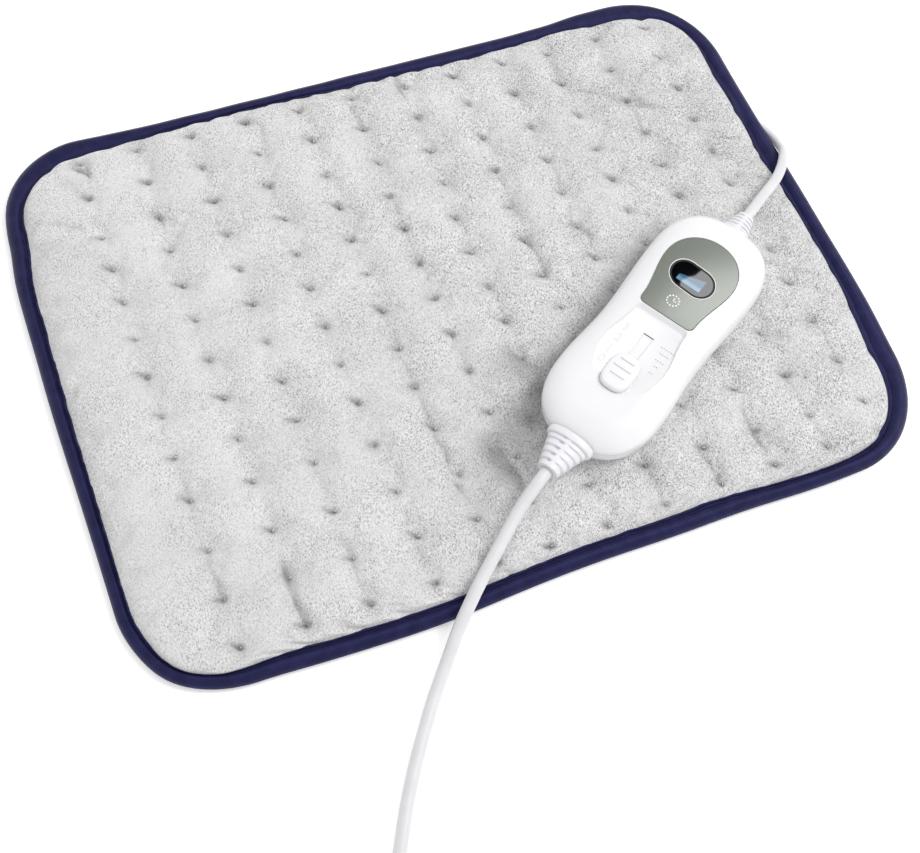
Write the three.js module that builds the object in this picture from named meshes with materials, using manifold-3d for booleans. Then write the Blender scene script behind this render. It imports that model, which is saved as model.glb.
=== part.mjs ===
// A heating pad with its hand controller: a tufted plush pad bound with tape, a controller with a
// slide switch that lies on it, and a mains lead put away in a tied coil with its plug.
// Millimetres. The origin is under the middle of the pad, on the surface it lies on:
// X runs along the pad, Y across it, Z up.

import * as THREE from 'three';
import { mergeVertices } from 'three/addons/utils/BufferGeometryUtils.js';
import Module from 'manifold-3d';

const wasm = await Module();
wasm.setup();
const degrees = THREE.MathUtils.degToRad;

// Fits that every piece shares
const clearance = 0.3;
const overrun = 6;

// Pad and its binding
const padLength = 400;
const padWidth = 300;
const padCornerRadius = 50;
const bindingWidth = 8;
const bindingHeight = 6.2;
const bindingWall = 1;
const hemDepth = 4.7;
const hemThickness = 1;
const layerMargin = 2;
const carrierMargin = 8;
const carrierThickness = 0.6;
const paddingThickness = 1.4;
const tuftedThickness = 0.8;

// Plush and its tufts: the rows lie closer together towards the far side
const pileHeight = 3;
const crownRun = 16;
const tuftReach = 7;
const tuftColumns = 12;
const tuftRows = 13;
const tuftColumnPitch = 29.3;
const tuftColumnShift = 6.2;
const firstTuftRow = 136;
const firstRowPitch = 20.8;
const lastRowPitch = 24.4;

// Heater inside the pad
const heatingWireDiameter = 1.2;
const heaterRuns = 12;
const heaterRunPitch = 20;
const heaterEndRoom = 34;
const heaterReturn = 8;
const junctionSize = [12, 16, 2.4];
const cutoutSize = [12, 6, 1.8];
const cutoutSpacing = 180;

// The boot where the pad lead leaves the pad, under the binding
const glandSetback = 4;
const glandY = 58;
const glandHeight = 2.9;
const glandAngle = degrees(-66);
const glandLength = 22;
const glandWidth = 10;
const glandNose = 5.6;
const coreSpacing = 2.6;
const coreRoom = 6;
const leadPassageLength = 18;

// Controller: its x runs towards the pad lead, and its z up from its underside
const controllerX = 75.1;
const controllerY = -60.2;
const controllerAngle = degrees(31.9);
const tailEnd = -71;
const headEnd = 78;
const tailWidest = -36;
const headWidest = 44;
const waistX = -4;
const tailWidth = 57.4;
const waistWidth = 54;
const headWidth = 58.4;
const endFullness = 2.5;
const endTrim = 1.5;
const endWall = 2.2;
const wall = 2;
const partingHeight = 12;
const bodyHeight = 25;
const topRounding = 15;
const topFullness = 2.1;
const bottomRounding = 9;
const bottomFullness = 2.4;
const tailDrop = 4.4;
const tailDropPower = 1.6;
const headDrop = 3;
const headDropRun = 27;
const lipHeight = 1.5;
const lipThickness = 1.2;
const lipSeat = 3;

// Display
const plateTop = 58;
const plateBottom = 5.5;
const plateWidest = 40;
const plateWidth = 38.6;
const plateBottomWidth = 29;
const plateCorner = 3;
const plateFullness = 2.2;
const plateThickness = 1;
const windowX = 32;
const windowLength = 15.6;
const windowWidth = 24;
const windowLedge = 2.4;
const lcdThickness = 2.2;

// Slide switch in its recess
const recessTop = 5.2;
const recessEnd = -45;
const recessWidest = -21;
const recessTopWidth = 28.5;
const recessWidth = 35.6;
const recessCorner = 2.5;
const recessDepth = 2.2;
const recessSlope = 2.6;
const recessSideSlope = 1;
const sliderTravel = 21.2;
const sliderTip = -22.8;
const sliderLength = 20.6;
const sliderWidth = 14.6;
const sliderHeight = 2.6;
const sliderRounding = 1;
const sliderFullness = 3.2;
const ribFromTip = 4.2;
const ribPitch = 4.6;
const ribWidths = [7.6, 9.6, 7.6];
const ribThickness = 0.9;
const ribHeight = 0.7;
const stemFromTip = 7;
const stemLength = 8;
const stemWidth = 5;
const carriageLength = 10;
const carriageWidth = 7;
const carriageHeight = 2;
const carriagePost = 2.2;
const carriagePostHeight = 2.6;
const switchBase = 2.4;
const switchWall = 1.4;
const switchWallHeight = 1.9;
const springLength = 20;
const springHeight = 1.4;
const springThickness = 0.4;
const springWave = 0.5;

// Circuit board and what stands on it, in places from the controller's origin
const boardTail = -47;
const boardHead = 57;
const boardMargin = 1;
const boardThickness = 1.6;
const componentRoom = 9;
const restDiameter = 6;
const restSetback = 5;
const restSide = 12;
const capacitorSize = [13, 6, 7];
const capacitorPlace = [8, 12];
const triacSize = [10, 4.4, 5.6];
const triacPlace = [8, -12];
const chipSize = [8, 10, 1.6];
const chipPlace = [44, 0];
const fuseLength = 15;
const fuseDiameter = 5;
const fusePlace = [-28, -15];

// Screws and the posts that they join
const tailPostX = -55;
const headPostX = 65;
const postSide = 13;
const postDiameter = 8.6;
const topPostDiameter = 6.6;
const screwHeadDiameter = 5.6;
const screwHeadHeight = 2;
const screwDiameter = 2.9;
const screwLength = 12;
const screwSink = 3;

// Leads and their strain reliefs
const mainsDiameter = 6;
const stepShare = 1.5;
const padLeadDiameter = 4.8;
const neckWidth = 12;
const neckHeight = 7;
const flangeSide = 1.3;
const flangeThickness = 1.6;
const reliefFullness = 2.2;
const mainsRelief = { length: 20.5, width: 24, height: 13, end: 10.6 };
const padRelief = { length: 13.8, width: 17, height: 11.6, end: 9 };
const collarShare = 0.2;
const collarStepShare = 0.88;
const ribShare = 0.6;
const ribCount = 5;
const grooveDepth = 0.8;
const innerWireDiameter = 1.8;
const innerWireSide = 3;
const innerWireBow = 2.6;
const innerWireLanding = 3.5;

// Coil of the mains lead, its tie and its plug
const coilX = -114;
const coilY = -311;
const coilRadius = 34;
const coilLayers = 4;
const turnsPerLayer = 2.4575;
const coilEntryAngle = degrees(150.6);
const stepsPerTurn = 24;
const turnGap = 0.6;
const tieAngle = degrees(-35);
const tieWidth = 6;
const tieThickness = 0.9;
const plugX = -182;
const plugY = -322.3;
const plugAngle = degrees(-90);
const plugLength = 36;
const plugWidth = 35.3;
const plugHeight = 13.7;
const plugEnd = 10;
const plugFullness = 3.5;
const pinSpacing = 18.6;
const pinDiameter = 4;
const pinLength = 19;
const pinDepth = 8;

// Routes of the leads where they aren't coiled, chosen by hand
const padLeadRoute = [
  [200.6, 47.6, 2.9], [202.8, 42.7, 2.9], [203.7, 37.2, 3.8], [203.1, 31, 6.3], [200.6, 24.6, 9],
  [195.4, 18.8, 10.9], [188.9, 13.2, 13], [179.6, 6.1, 16.5], [168, -1.7, 20.2],
];
const mainsRoute = [
  [-19, -119.2, 19.3], [-32.4, -130.4, 16.2], [-44.2, -140.5, 14.2], [-53.6, -149, 12.2],
  [-64.2, -159.4, 8.9], [-74, -170.6, 5.2], [-84, -182.2, 3.3], [-94, -195.2, 3.1],
  [-102.2, -206.6, 3.1], [-110.8, -219.8, 3.1], [-119.9, -235.8, 3.1], [-130, -254, 3.3],
  [-140.2, -272, 3.9],
];
const tailRoute = [
  [-131, -269, 23.2], [-145, -271.6, 20.6], [-161, -279.5, 15.8], [-173.5, -292, 11],
  [-180.4, -306, 8],
];

// Finishes
const finish = (color, roughness, metalness = 0) =>
  new THREE.MeshStandardMaterial({ color, roughness, metalness });
const plush = finish(0xd6d6d8, 0.95);
const tape = finish(0x2c2c56, 0.7);
const felt = finish(0xe6e2d8, 0.95);
const whiteShell = finish(0xf4f4f6, 0.25);
const softWhite = finish(0xececee, 0.5);
const plateMetal = finish(0x99a094, 0.35, 0.4);
const windowBlack = finish(0x14161a, 0.08);
const lcdBlue = finish(0xa9c8ec, 0.2);
const darkPlastic = finish(0x2a2c30, 0.5);
const boardGreen = finish(0x2f6b45, 0.5);
const amber = finish(0xb8813a, 0.4);
const steel = finish(0xb9bcc0, 0.3, 0.9);
const brass = finish(0xc9b070, 0.3, 0.9);
const copper = finish(0xc0703a, 0.4, 0.8);

// Closed shapes

// A closed surface through rings of equally many points. An end is closed by a ladder of quads
// from each point to the one that faces it across the ring; a closed section has no ends.
function loft(rings, closedSection = false) {
  const count = rings[0].length;
  const places = rings.flat().flatMap((point) => [point.x, point.y, point.z]);
  const faces = [];
  const quad = (a, b, c, d) => faces.push(a, b, c, a, c, d);
  const bands = closedSection ? rings.length : rings.length - 1;
  for (let band = 0; band < bands; band += 1) {
    const low = band * count;
    const high = ((band + 1) % rings.length) * count;
    for (let k = 0; k < count; k += 1) {
      const next = (k + 1) % count;
      quad(low + k, low + next, high + next, high + k);
    }
  }
  if (!closedSection) {
    const last = (rings.length - 1) * count;
    for (let k = 0; k < count / 2 - 1; k += 1) {
      const facing = count - 1 - k;
      quad(k, facing, facing - 1, k + 1);
      quad(last + k, last + k + 1, last + facing - 1, last + facing);
    }
  }
  const geometry = new THREE.BufferGeometry();
  geometry.setAttribute('position', new THREE.Float32BufferAttribute(places, 3));
  geometry.setIndex(volumeOf(places, faces) < 0 ? faces.reverse() : faces);
  return geometry;
}

function volumeOf(places, faces) {
  const corner = (index) => new THREE.Vector3().fromArray(places, 3 * index);
  let sum = 0;
  for (let k = 0; k < faces.length; k += 3) {
    sum += corner(faces[k]).dot(corner(faces[k + 1]).cross(corner(faces[k + 2])));
  }
  return sum;
}

function toSolid(geometry) {
  const plain = geometry.clone();
  plain.deleteAttribute('normal');
  plain.deleteAttribute('uv');
  const merged = mergeVertices(plain, 1e-4);
  return new wasm.Manifold(new wasm.Mesh({
    numProp: 3,
    vertProperties: Float32Array.from(merged.attributes.position.array),
    triVerts: Uint32Array.from(merged.index.array),
  }));
}

function toGeometry(solid) {
  const mesh = solid.getMesh();
  const geometry = new THREE.BufferGeometry();
  geometry.setAttribute('position', new THREE.Float32BufferAttribute(mesh.vertProperties, 3));
  geometry.setIndex(Array.from(mesh.triVerts));
  return geometry;
}

const joined = (first, ...others) =>
  toGeometry(others.reduce((sum, other) => sum.add(toSolid(other)), toSolid(first)));
const cut = (first, ...others) =>
  toGeometry(others.reduce((sum, other) => sum.subtract(toSolid(other)), toSolid(first)));
const within = (first, second) => toGeometry(toSolid(first).intersect(toSolid(second)));

// A box between two corners
function block(low, high) {
  const size = high.map((value, axis) => value - low[axis]);
  const middle = high.map((value, axis) => (value + low[axis]) / 2);
  return new THREE.BoxGeometry(...size).translate(...middle);
}

// A box of the size given, standing on a height, with its middle at x and y
function standing(size, x, y, height) {
  return new THREE.BoxGeometry(...size).translate(x, y, height + size[2] / 2);
}

// An upright cylinder from one height to another
function post(diameter, x, y, low, high, sides = 12) {
  return new THREE.CylinderGeometry(diameter / 2, diameter / 2, high - low, sides)
    .rotateX(Math.PI / 2)
    .translate(x, y, (low + high) / 2);
}

// An outline lifted to a height, which may change along x, and a prism between two heights
const raised = (outline, height) => outline.map((point) =>
  new THREE.Vector3(point.x, point.y, typeof height === 'function' ? height(point.x) : height));
const prism = (outline, low, high) => loft([raised(outline, low), raised(outline, high)]);

// An oval of the fullness given: 2 is an ellipse, and more is squarer. No point is on its axes.
function oval(length, width, fullness, count) {
  const power = 2 / fullness;
  return Array.from({ length: count }, (_, k) => {
    const angle = (k + 0.5) * 2 * Math.PI / count;
    const along = Math.cos(angle);
    const across = Math.sin(angle);
    return new THREE.Vector2(
      Math.sign(along) * Math.abs(along) ** power * length / 2,
      Math.sign(across) * Math.abs(across) ** power * width / 2,
    );
  });
}

// The half of an outline on the +y side, from its +x end to its -x end, and its mirror image
const mirrored = (half) => [
  ...half, ...half.toReversed().map((point) => new THREE.Vector2(point.x, -point.y)),
];

// Points of a quarter oval about a middle, from its end on x to its side on y
function quarter(middleX, reachX, reachY, fullness, steps) {
  return Array.from({ length: steps }, (_, k) => {
    const angle = (k + 0.5) * Math.PI / 2 / steps;
    return new THREE.Vector2(
      middleX + reachX * Math.cos(angle) ** (2 / fullness),
      reachY * Math.sin(angle) ** (2 / fullness),
    );
  });
}

// Points of a side that swells smoothly from one half width to another; its last point is left out
function swelling(fromX, fromY, toX, toY, steps) {
  return Array.from({ length: steps }, (_, k) => {
    const share = (1 - Math.cos(k / steps * Math.PI)) / 2;
    return new THREE.Vector2(
      THREE.MathUtils.lerp(fromX, toX, k / steps),
      THREE.MathUtils.lerp(fromY, toY, share),
    );
  });
}

// A line through set points whose steps fall on those points
class RouteLine extends THREE.Curve {
  constructor(points) {
    super();
    this.points = points;
  }

  getUtoTmapping(u) {
    return u;
  }

  getPoint(t, target = new THREE.Vector3()) {
    const at = THREE.MathUtils.clamp(t, 0, 1) * (this.points.length - 1);
    const index = Math.min(Math.floor(at), this.points.length - 2);
    return target.lerpVectors(this.points[index], this.points[index + 1], at - index);
  }
}

function roundSection(diameter, sides) {
  return new THREE.Shape(Array.from({ length: sides }, (_, k) => {
    const angle = (k + 0.5) * 2 * Math.PI / sides;
    return new THREE.Vector2(Math.cos(angle), Math.sin(angle)).multiplyScalar(diameter / 2);
  }));
}

const tube = (curve, diameter, sides, steps) =>
  new THREE.ExtrudeGeometry(roundSection(diameter, sides), { steps, extrudePath: curve });
const tubeThrough = (points, diameter, sides) =>
  tube(new RouteLine(points), diameter, sides, points.length - 1);

const model = new THREE.Group();
const controller = new THREE.Group();
model.add(controller);

function addPiece(parent, name, geometry, material) {
  const mesh = new THREE.Mesh(geometry, material);
  mesh.name = name;
  parent.add(mesh);
  return mesh;
}

// Pad: its outline, drawn in by the inset given
const cornerSteps = 8;

function padOutline(inset) {
  const radius = padCornerRadius - inset;
  const cornerX = padLength / 2 - padCornerRadius;
  const cornerY = padWidth / 2 - padCornerRadius;
  const corners = [[1, 1], [-1, 1], [-1, -1], [1, -1]];
  return corners.flatMap(([sideX, sideY], corner) =>
    Array.from({ length: cornerSteps + 1 }, (_, k) => {
      const angle = (corner + k / cornerSteps) * Math.PI / 2;
      return new THREE.Vector2(
        sideX * cornerX + radius * Math.cos(angle),
        sideY * cornerY + radius * Math.sin(angle),
      );
    }));
}

// How far a point lies inside the pad's outline
function padInset(x, y) {
  const beyondX = Math.abs(x) - (padLength / 2 - padCornerRadius);
  const beyondY = Math.abs(y) - (padWidth / 2 - padCornerRadius);
  const corner = Math.hypot(Math.max(beyondX, 0), Math.max(beyondY, 0));
  return padCornerRadius - corner - Math.min(Math.max(beyondX, beyondY), 0);
}

// Heights in the pad, from the bottom up
const hemInset = bindingWidth - hemDepth;
const coverInset = bindingWidth + clearance;
const pocketInset = coverInset + layerMargin;
const layerInset = pocketInset + clearance;
const slotTop = bindingHeight - bindingWall;
const bottomTop = bindingWall + clearance + hemThickness;
const carrierBottom = bottomTop + clearance;
const carrierTop = carrierBottom + carrierThickness;
const onCarrier = carrierTop + clearance;
const wireAxis = onCarrier + heatingWireDiameter / 2;
const paddingBottom = onCarrier + heatingWireDiameter + clearance;
const paddingTop = paddingBottom + paddingThickness;
const pocketTop = paddingTop + clearance;
const tuftHeight = pocketTop + tuftedThickness;
const crownHeight = tuftHeight + pileHeight;

const tuftX = Array.from({ length: tuftColumns }, (_, k) =>
  tuftColumnShift + (k - (tuftColumns - 1) / 2) * tuftColumnPitch);
const rowPitchGrowth = (lastRowPitch - firstRowPitch) / (tuftRows - 2);
const tuftY = Array.from({ length: tuftRows }, (_, k) =>
  firstTuftRow - k * firstRowPitch - rowPitchGrowth * k * (k - 1) / 2).toReversed();

// The tape round the edge: a channel with a round nose, open inwards, that holds the covers' hems
function makeBinding() {
  const section = [
    [bindingWidth, 0],
    [bindingWidth / 4, 0],
    [bindingWidth / 16, bindingHeight / 5],
    [0, bindingHeight / 2],
    [bindingWidth / 16, bindingHeight * 4 / 5],
    [bindingWidth / 4, bindingHeight],
    [bindingWidth, bindingHeight],
    [bindingWidth, slotTop],
    [hemInset - clearance, slotTop],
    [hemInset - clearance, bindingWall],
    [bindingWidth, bindingWall],
  ];
  return loft(section.map(([inset, height]) => raised(padOutline(inset), height)), true);
}

// The lines of the top cover's grid: through the tufts, halfway between them and at the edge
function gridLines(tufts, limit) {
  const lines = [-limit, (tufts[0] - limit) / 2];
  tufts.forEach((place, k) => {
    lines.push(place);
    lines.push(k + 1 < tufts.length ? (place + tufts[k + 1]) / 2 : (place + limit) / 2);
  });
  lines.push(limit);
  return lines;
}

// The plush rises from its hem to a crown, and each tuft pulls it down to its backing
function plushHeight(x, y) {
  const nearest = (tufts, place) => Math.min(...tufts.map((tuft) => Math.abs(tuft - place)));
  const distance = Math.hypot(nearest(tuftX, x), nearest(tuftY, y));
  const pull = Math.exp(-((distance / tuftReach) ** 2));
  const rise = THREE.MathUtils.clamp((padInset(x, y) - coverInset) / crownRun, 0, 1);
  return tuftHeight + pileHeight * (1 - pull) * Math.sqrt(1 - (1 - rise) ** 2);
}

function makeTopCover() {
  const linesX = gridLines(tuftX, padLength / 2);
  const linesY = gridLines(tuftY, padWidth / 2);
  const cells = [linesX.length - 1, linesY.length - 1];
  const plushBlock = new THREE.BoxGeometry(1, 1, 1, ...cells, 1);
  const places = plushBlock.attributes.position;
  for (let k = 0; k < places.count; k += 1) {
    const x = linesX[Math.round((places.getX(k) + 0.5) * cells[0])];
    const y = linesY[Math.round((places.getY(k) + 0.5) * cells[1])];
    places.setXYZ(k, x, y, places.getZ(k) > 0 ? plushHeight(x, y) : carrierBottom);
  }
  const hem = prism(padOutline(hemInset), carrierBottom, slotTop - clearance);
  const plushBody = within(plushBlock, prism(padOutline(coverInset), 0, crownHeight + overrun));
  const pocket = prism(padOutline(pocketInset), 0, pocketTop);
  return cut(joined(plushBody, hem), pocket);
}

function makeBottomCover() {
  const hem = prism(padOutline(hemInset), bindingWall + clearance, bottomTop);
  return joined(prism(padOutline(coverInset), 0, bottomTop), hem);
}

// The gland is a flat moulded boot that narrows towards the lead. Its room is cut with clearance,
// and goes on as a round passage for the lead and its cores.
const glandWay = new THREE.Vector3(Math.cos(glandAngle), Math.sin(glandAngle), 0);
const glandSide = new THREE.Vector3(-glandWay.y, glandWay.x, 0);
const glandFace = new THREE.Vector3(padLength / 2 - glandSetback, glandY, glandHeight);
const alongGland = (along, side = 0) =>
  glandFace.clone().addScaledVector(glandWay, along).addScaledVector(glandSide, side);

function glandBody(grown) {
  const section = (along, width) =>
    oval(width + 2 * grown, padLeadDiameter + 2 * grown, 4, 12).map((point) =>
      alongGland(along, point.x).add(new THREE.Vector3(0, 0, point.y)));
  return loft([
    section(-glandLength - grown, glandWidth),
    section(-glandLength / 2, glandWidth),
    section(grown, glandNose),
  ]);
}

function leadPassage() {
  const ends = [-glandLength - coreRoom, leadPassageLength].map((along) => alongGland(along));
  return tubeThrough(ends, padLeadDiameter + 2 * clearance, 12);
}

const glandRoom = joined(glandBody(clearance), leadPassage());

// Heater: the wire runs to and fro on its carrier, from the junction block and back to it
const heaterEnd = padLength / 2 - heaterEndRoom;
const junctionX = heaterEnd + heaterReturn;
const junctionY = alongGland(-glandLength - clearance - coreSpacing * 2).y;
const cutoutPlaces = [-cutoutSpacing / 2, cutoutSpacing / 2];
const runY = (run) => (run - (heaterRuns - 1) / 2) * heaterRunPitch;

// A route through square corners, each rounded in three steps
function roundedRoute(corners, radius) {
  const points = [corners[0]];
  for (let k = 1; k < corners.length - 1; k += 1) {
    const back = corners[k - 1].clone().sub(corners[k]).setLength(radius);
    const ahead = corners[k + 1].clone().sub(corners[k]).setLength(radius);
    const middle = corners[k].clone().add(back).add(ahead);
    for (let step = 0; step <= 3; step += 1) {
      const angle = step * Math.PI / 6;
      points.push(middle.clone()
        .addScaledVector(ahead, -Math.cos(angle))
        .addScaledVector(back, -Math.sin(angle)));
    }
  }
  points.push(corners.at(-1));
  return points;
}

function heaterRoute() {
  const place = (x, y) => new THREE.Vector3(x, y, wireAxis);
  const reach = junctionSize[1] / 2 + clearance;
  const corners = [place(junctionX, junctionY - reach), place(junctionX, runY(0))];
  for (let run = 0; run < heaterRuns - 1; run += 1) {
    const side = run % 2 === 0 ? -heaterEnd : heaterEnd;
    corners.push(place(side, runY(run)), place(side, runY(run + 1)));
  }
  corners.push(place(junctionX, runY(heaterRuns - 1)), place(junctionX, junctionY + reach));
  return roundedRoute(corners, heaterRunPitch / 2 - clearance);
}

// A core of the pad lead, from the gland's inner face to the junction block
function coreTube(side) {
  const lift = new THREE.Vector3(0, 0, wireAxis - glandFace.z);
  const start = alongGland(-glandLength - clearance, -side * coreSpacing / 2).add(lift);
  const blockSide = junctionX + junctionSize[0] / 2 + clearance;
  const end = new THREE.Vector3(blockSide, junctionY - side * coreSpacing / 2, wireAxis);
  const curve = new THREE.CubicBezierCurve3(
    start,
    start.clone().addScaledVector(glandWay, -coreSpacing),
    end.clone().add(new THREE.Vector3(coreSpacing, 0, 0)),
    end,
  );
  return tube(curve, heatingWireDiameter, 6, 8);
}

// A window through the padding round a block that stands on the carrier
const paddingWindow = (size, x, y) =>
  standing([size[0] + 2 * clearance, size[1] + 2 * clearance, overrun], x, y, carrierTop);

function makePadding() {
  return cut(
    prism(padOutline(layerInset), paddingBottom, paddingTop),
    glandRoom,
    paddingWindow(junctionSize, junctionX, junctionY),
    ...cutoutPlaces.map((x) => paddingWindow(cutoutSize, x, 0)),
  );
}

addPiece(model, 'edge_binding', cut(makeBinding(), glandRoom), tape);
addPiece(model, 'top_cover', cut(makeTopCover(), glandRoom), plush);
addPiece(model, 'bottom_cover', cut(makeBottomCover(), glandRoom), plush);
addPiece(model, 'heater_carrier',
  prism(padOutline(layerInset + carrierMargin), carrierBottom, carrierTop), felt);
addPiece(model, 'padding_layer', makePadding(), felt);
addPiece(model, 'heating_wire', tubeThrough(heaterRoute(), heatingWireDiameter, 6), copper);
addPiece(model, 'junction_block',
  standing(junctionSize, junctionX, junctionY, onCarrier), darkPlastic);
cutoutPlaces.forEach((x, k) => {
  addPiece(model, `thermal_cutout_${k + 1}`, standing(cutoutSize, x, 0, onCarrier), steel);
});
addPiece(model, 'pad_entry_gland', glandBody(0), softWhite);
[-1, 1].forEach((side, k) => {
  addPiece(model, `pad_lead_core_${k + 1}`, coreTube(side), copper);
});

// Controller: it lies on the plush, turned as the photograph shows it
const controllerBase = crownHeight + clearance;
controller.position.set(controllerX, controllerY, controllerBase);
controller.rotation.z = controllerAngle;

// The housing's outline seen from above, drawn in by the inset along its normals
function housingOutline(inset) {
  const tail = quarter(-tailWidest, tailWidest - tailEnd, tailWidth / 2, endFullness, 7)
    .map((point) => new THREE.Vector2(-point.x, point.y))
    .toReversed();
  const outline = mirrored([
    ...quarter(headWidest, headEnd - headWidest, headWidth / 2, endFullness, 7),
    ...swelling(headWidest, headWidth / 2, waistX, waistWidth / 2, 5),
    ...swelling(waistX, waistWidth / 2, tailWidest, tailWidth / 2, 5),
    ...tail,
  ]);
  return outline.map((point, k) => {
    const before = outline.at(k - 1);
    const after = outline[(k + 1) % outline.length];
    const along = after.clone().sub(before).normalize();
    return new THREE.Vector2(point.x - inset * along.y, point.y + inset * along.x);
  });
}

// The height of the top face, which falls away towards both ends
function topAt(x) {
  const toTail = Math.max(plateBottom - x, 0) / (plateBottom - tailEnd);
  const toHead = Math.max(x - (headEnd - headDropRun), 0) / headDropRun;
  return bodyHeight - tailDrop * toTail ** tailDropPower - headDrop * toHead ** 2;
}

// Rings of a rounded half shell from the parting plane outwards; inner is 0 for the outer skin
function roundedRings(rounding, fullness, inner, heightAt, from, steps = 6) {
  return Array.from({ length: steps + 1 }, (_, k) => {
    const angle = k / steps * Math.PI / 2;
    const inset = inner + rounding * (1 - Math.cos(angle) ** (2 / fullness));
    const share = Math.sin(angle) ** (2 / fullness);
    return raised(housingOutline(inset), (x) => from + (heightAt(x) - from) * share);
  });
}

// What lies between the trimmed ends; inner leaves the end walls out as well
function betweenEnds(inner) {
  const side = headWidth;
  return block(
    [tailEnd + endTrim + inner, -side, -overrun],
    [headEnd - endTrim - inner, side, bodyHeight + overrun],
  );
}

// A housing half without its cavity. The two cavities reach past the parting plane.
const halfGap = clearance / 2;
const recessFloor = bodyHeight - recessDepth;
const ceiling = recessFloor - wall;
const boardTop = ceiling - componentRoom;
const boardHeight = boardTop - boardThickness;
const onBoard = boardTop + clearance;

function topBody() {
  const skin = roundedRings(topRounding, topFullness, 0, topAt, partingHeight + halfGap);
  return within(loft(skin), betweenEnds(0));
}

function bottomBody() {
  const skin = roundedRings(bottomRounding, bottomFullness, 0, () => 0, partingHeight - halfGap);
  return within(loft(skin), betweenEnds(0));
}

function topCavity() {
  const skin = roundedRings(topRounding, topFullness, wall, (x) => topAt(x) - wall, partingHeight);
  const below = raised(housingOutline(wall), partingHeight - overrun);
  const tray = block(
    [recessEnd - wall, -headWidth, ceiling],
    [plateTop + wall, headWidth, bodyHeight + overrun],
  );
  return cut(within(loft([below, ...skin]), betweenEnds(endWall)), tray);
}

function bottomCavity() {
  const skin = roundedRings(bottomRounding, bottomFullness, wall, () => wall, partingHeight);
  const above = raised(housingOutline(wall), partingHeight + overrun);
  return within(loft([above, ...skin]), betweenEnds(endWall));
}

// A solid along x from the end face given, by oval sections: each is a distance out of the
// housing, a width and a height
const ovalRings = (sections, face, way, grown, count) => sections.map(([x, across, up]) =>
  oval(across + 2 * grown, up + 2 * grown, reliefFullness, count).map((point) =>
    new THREE.Vector3(face + way * x, point.x, partingHeight + point.y)));

// The room in an end wall, split by the parting plane, for a strain relief's neck and flange
const tailFace = tailEnd + endTrim;
const headFace = headEnd - endTrim;
const flangeWidth = neckWidth + 2 * flangeSide;
const flangeHeight = neckHeight + 2 * flangeSide;
const flangeFace = endWall + clearance;
const reliefInner = flangeFace + flangeThickness;

const reliefRooms = [[tailFace, -1], [headFace, 1]].map(([face, way]) => loft(ovalRings([
  [-reliefInner - clearance, flangeWidth, flangeHeight],
  [-endWall, flangeWidth, flangeHeight],
  [-endWall, neckWidth, neckHeight],
  [overrun, neckWidth, neckHeight],
], face, way, clearance, 14)));

// The lip that stands up inside the parting line and keeps the two halves in line
function lipRing() {
  const outer = wall + 2 * clearance;
  const section = [
    [wall / 2, partingHeight - lipSeat],
    [wall / 2, partingHeight - 2 * halfGap],
    [outer, partingHeight - 2 * halfGap],
    [outer, partingHeight + lipHeight],
    [outer + lipThickness, partingHeight + lipHeight],
    [outer + lipThickness, partingHeight - lipSeat],
  ];
  const ring = loft(section.map(([inset, height]) => raised(housingOutline(inset), height)), true);
  return within(ring, betweenEnds(endWall + clearance));
}

const postPlaces = [tailPostX, headPostX].flatMap((x) => [[x, -postSide], [x, postSide]]);
const screwSeat = screwSink - clearance;

function makeHousingBottom() {
  const rests = [boardTail + restSetback, boardHead - restSetback].flatMap((x) =>
    [-restSide, restSide].map((y) =>
      post(restDiameter, x, y, wall / 2, boardHeight - clearance, 8)));
  const posts = postPlaces.map(([x, y]) =>
    post(postDiameter, x, y, wall / 2, partingHeight - halfGap));
  const holes = postPlaces.flatMap(([x, y]) => [
    post(screwHeadDiameter + 2 * clearance, x, y, -overrun, screwSink),
    post(screwDiameter + 2 * clearance, x, y, 0, partingHeight + overrun),
  ]);
  const shell = cut(bottomBody(), bottomCavity());
  return cut(joined(shell, lipRing(), ...rests, ...posts), ...reliefRooms, ...holes);
}

// Display plate and its window
function plateOutline(grown) {
  const widest = plateWidth / 2 + grown;
  const corner = plateCorner + grown;
  const low = plateBottom - grown;
  const side = plateBottomWidth / 2 + grown;
  const cornerPoints = Array.from({ length: 5 }, (_, k) => {
    const angle = k / 4 * Math.PI / 2;
    return new THREE.Vector2(
      low + corner * (1 - Math.sin(angle)),
      side - corner * (1 - Math.cos(angle)),
    );
  });
  return mirrored([
    ...quarter(plateWidest, plateTop + grown - plateWidest, widest, plateFullness, 8),
    ...swelling(plateWidest, widest, low + corner, side, 5),
    ...cornerPoints,
  ]);
}

function windowOutline(grown) {
  const radius = windowLength / 2 + grown;
  const half = Array.from({ length: 11 }, (_, k) => {
    const angle = k / 10 * Math.PI;
    return new THREE.Vector2(
      windowX + radius * Math.cos(angle),
      (windowWidth - windowLength) / 2 + radius * Math.sin(angle),
    );
  });
  return mirrored(half);
}

const plateUnder = bodyHeight - plateThickness;
const lcdTop = plateUnder - clearance;
const lcdSize = [
  windowLength - 2 * (windowLedge + clearance),
  windowWidth - 2 * (windowLedge + clearance),
  lcdThickness,
];

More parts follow.
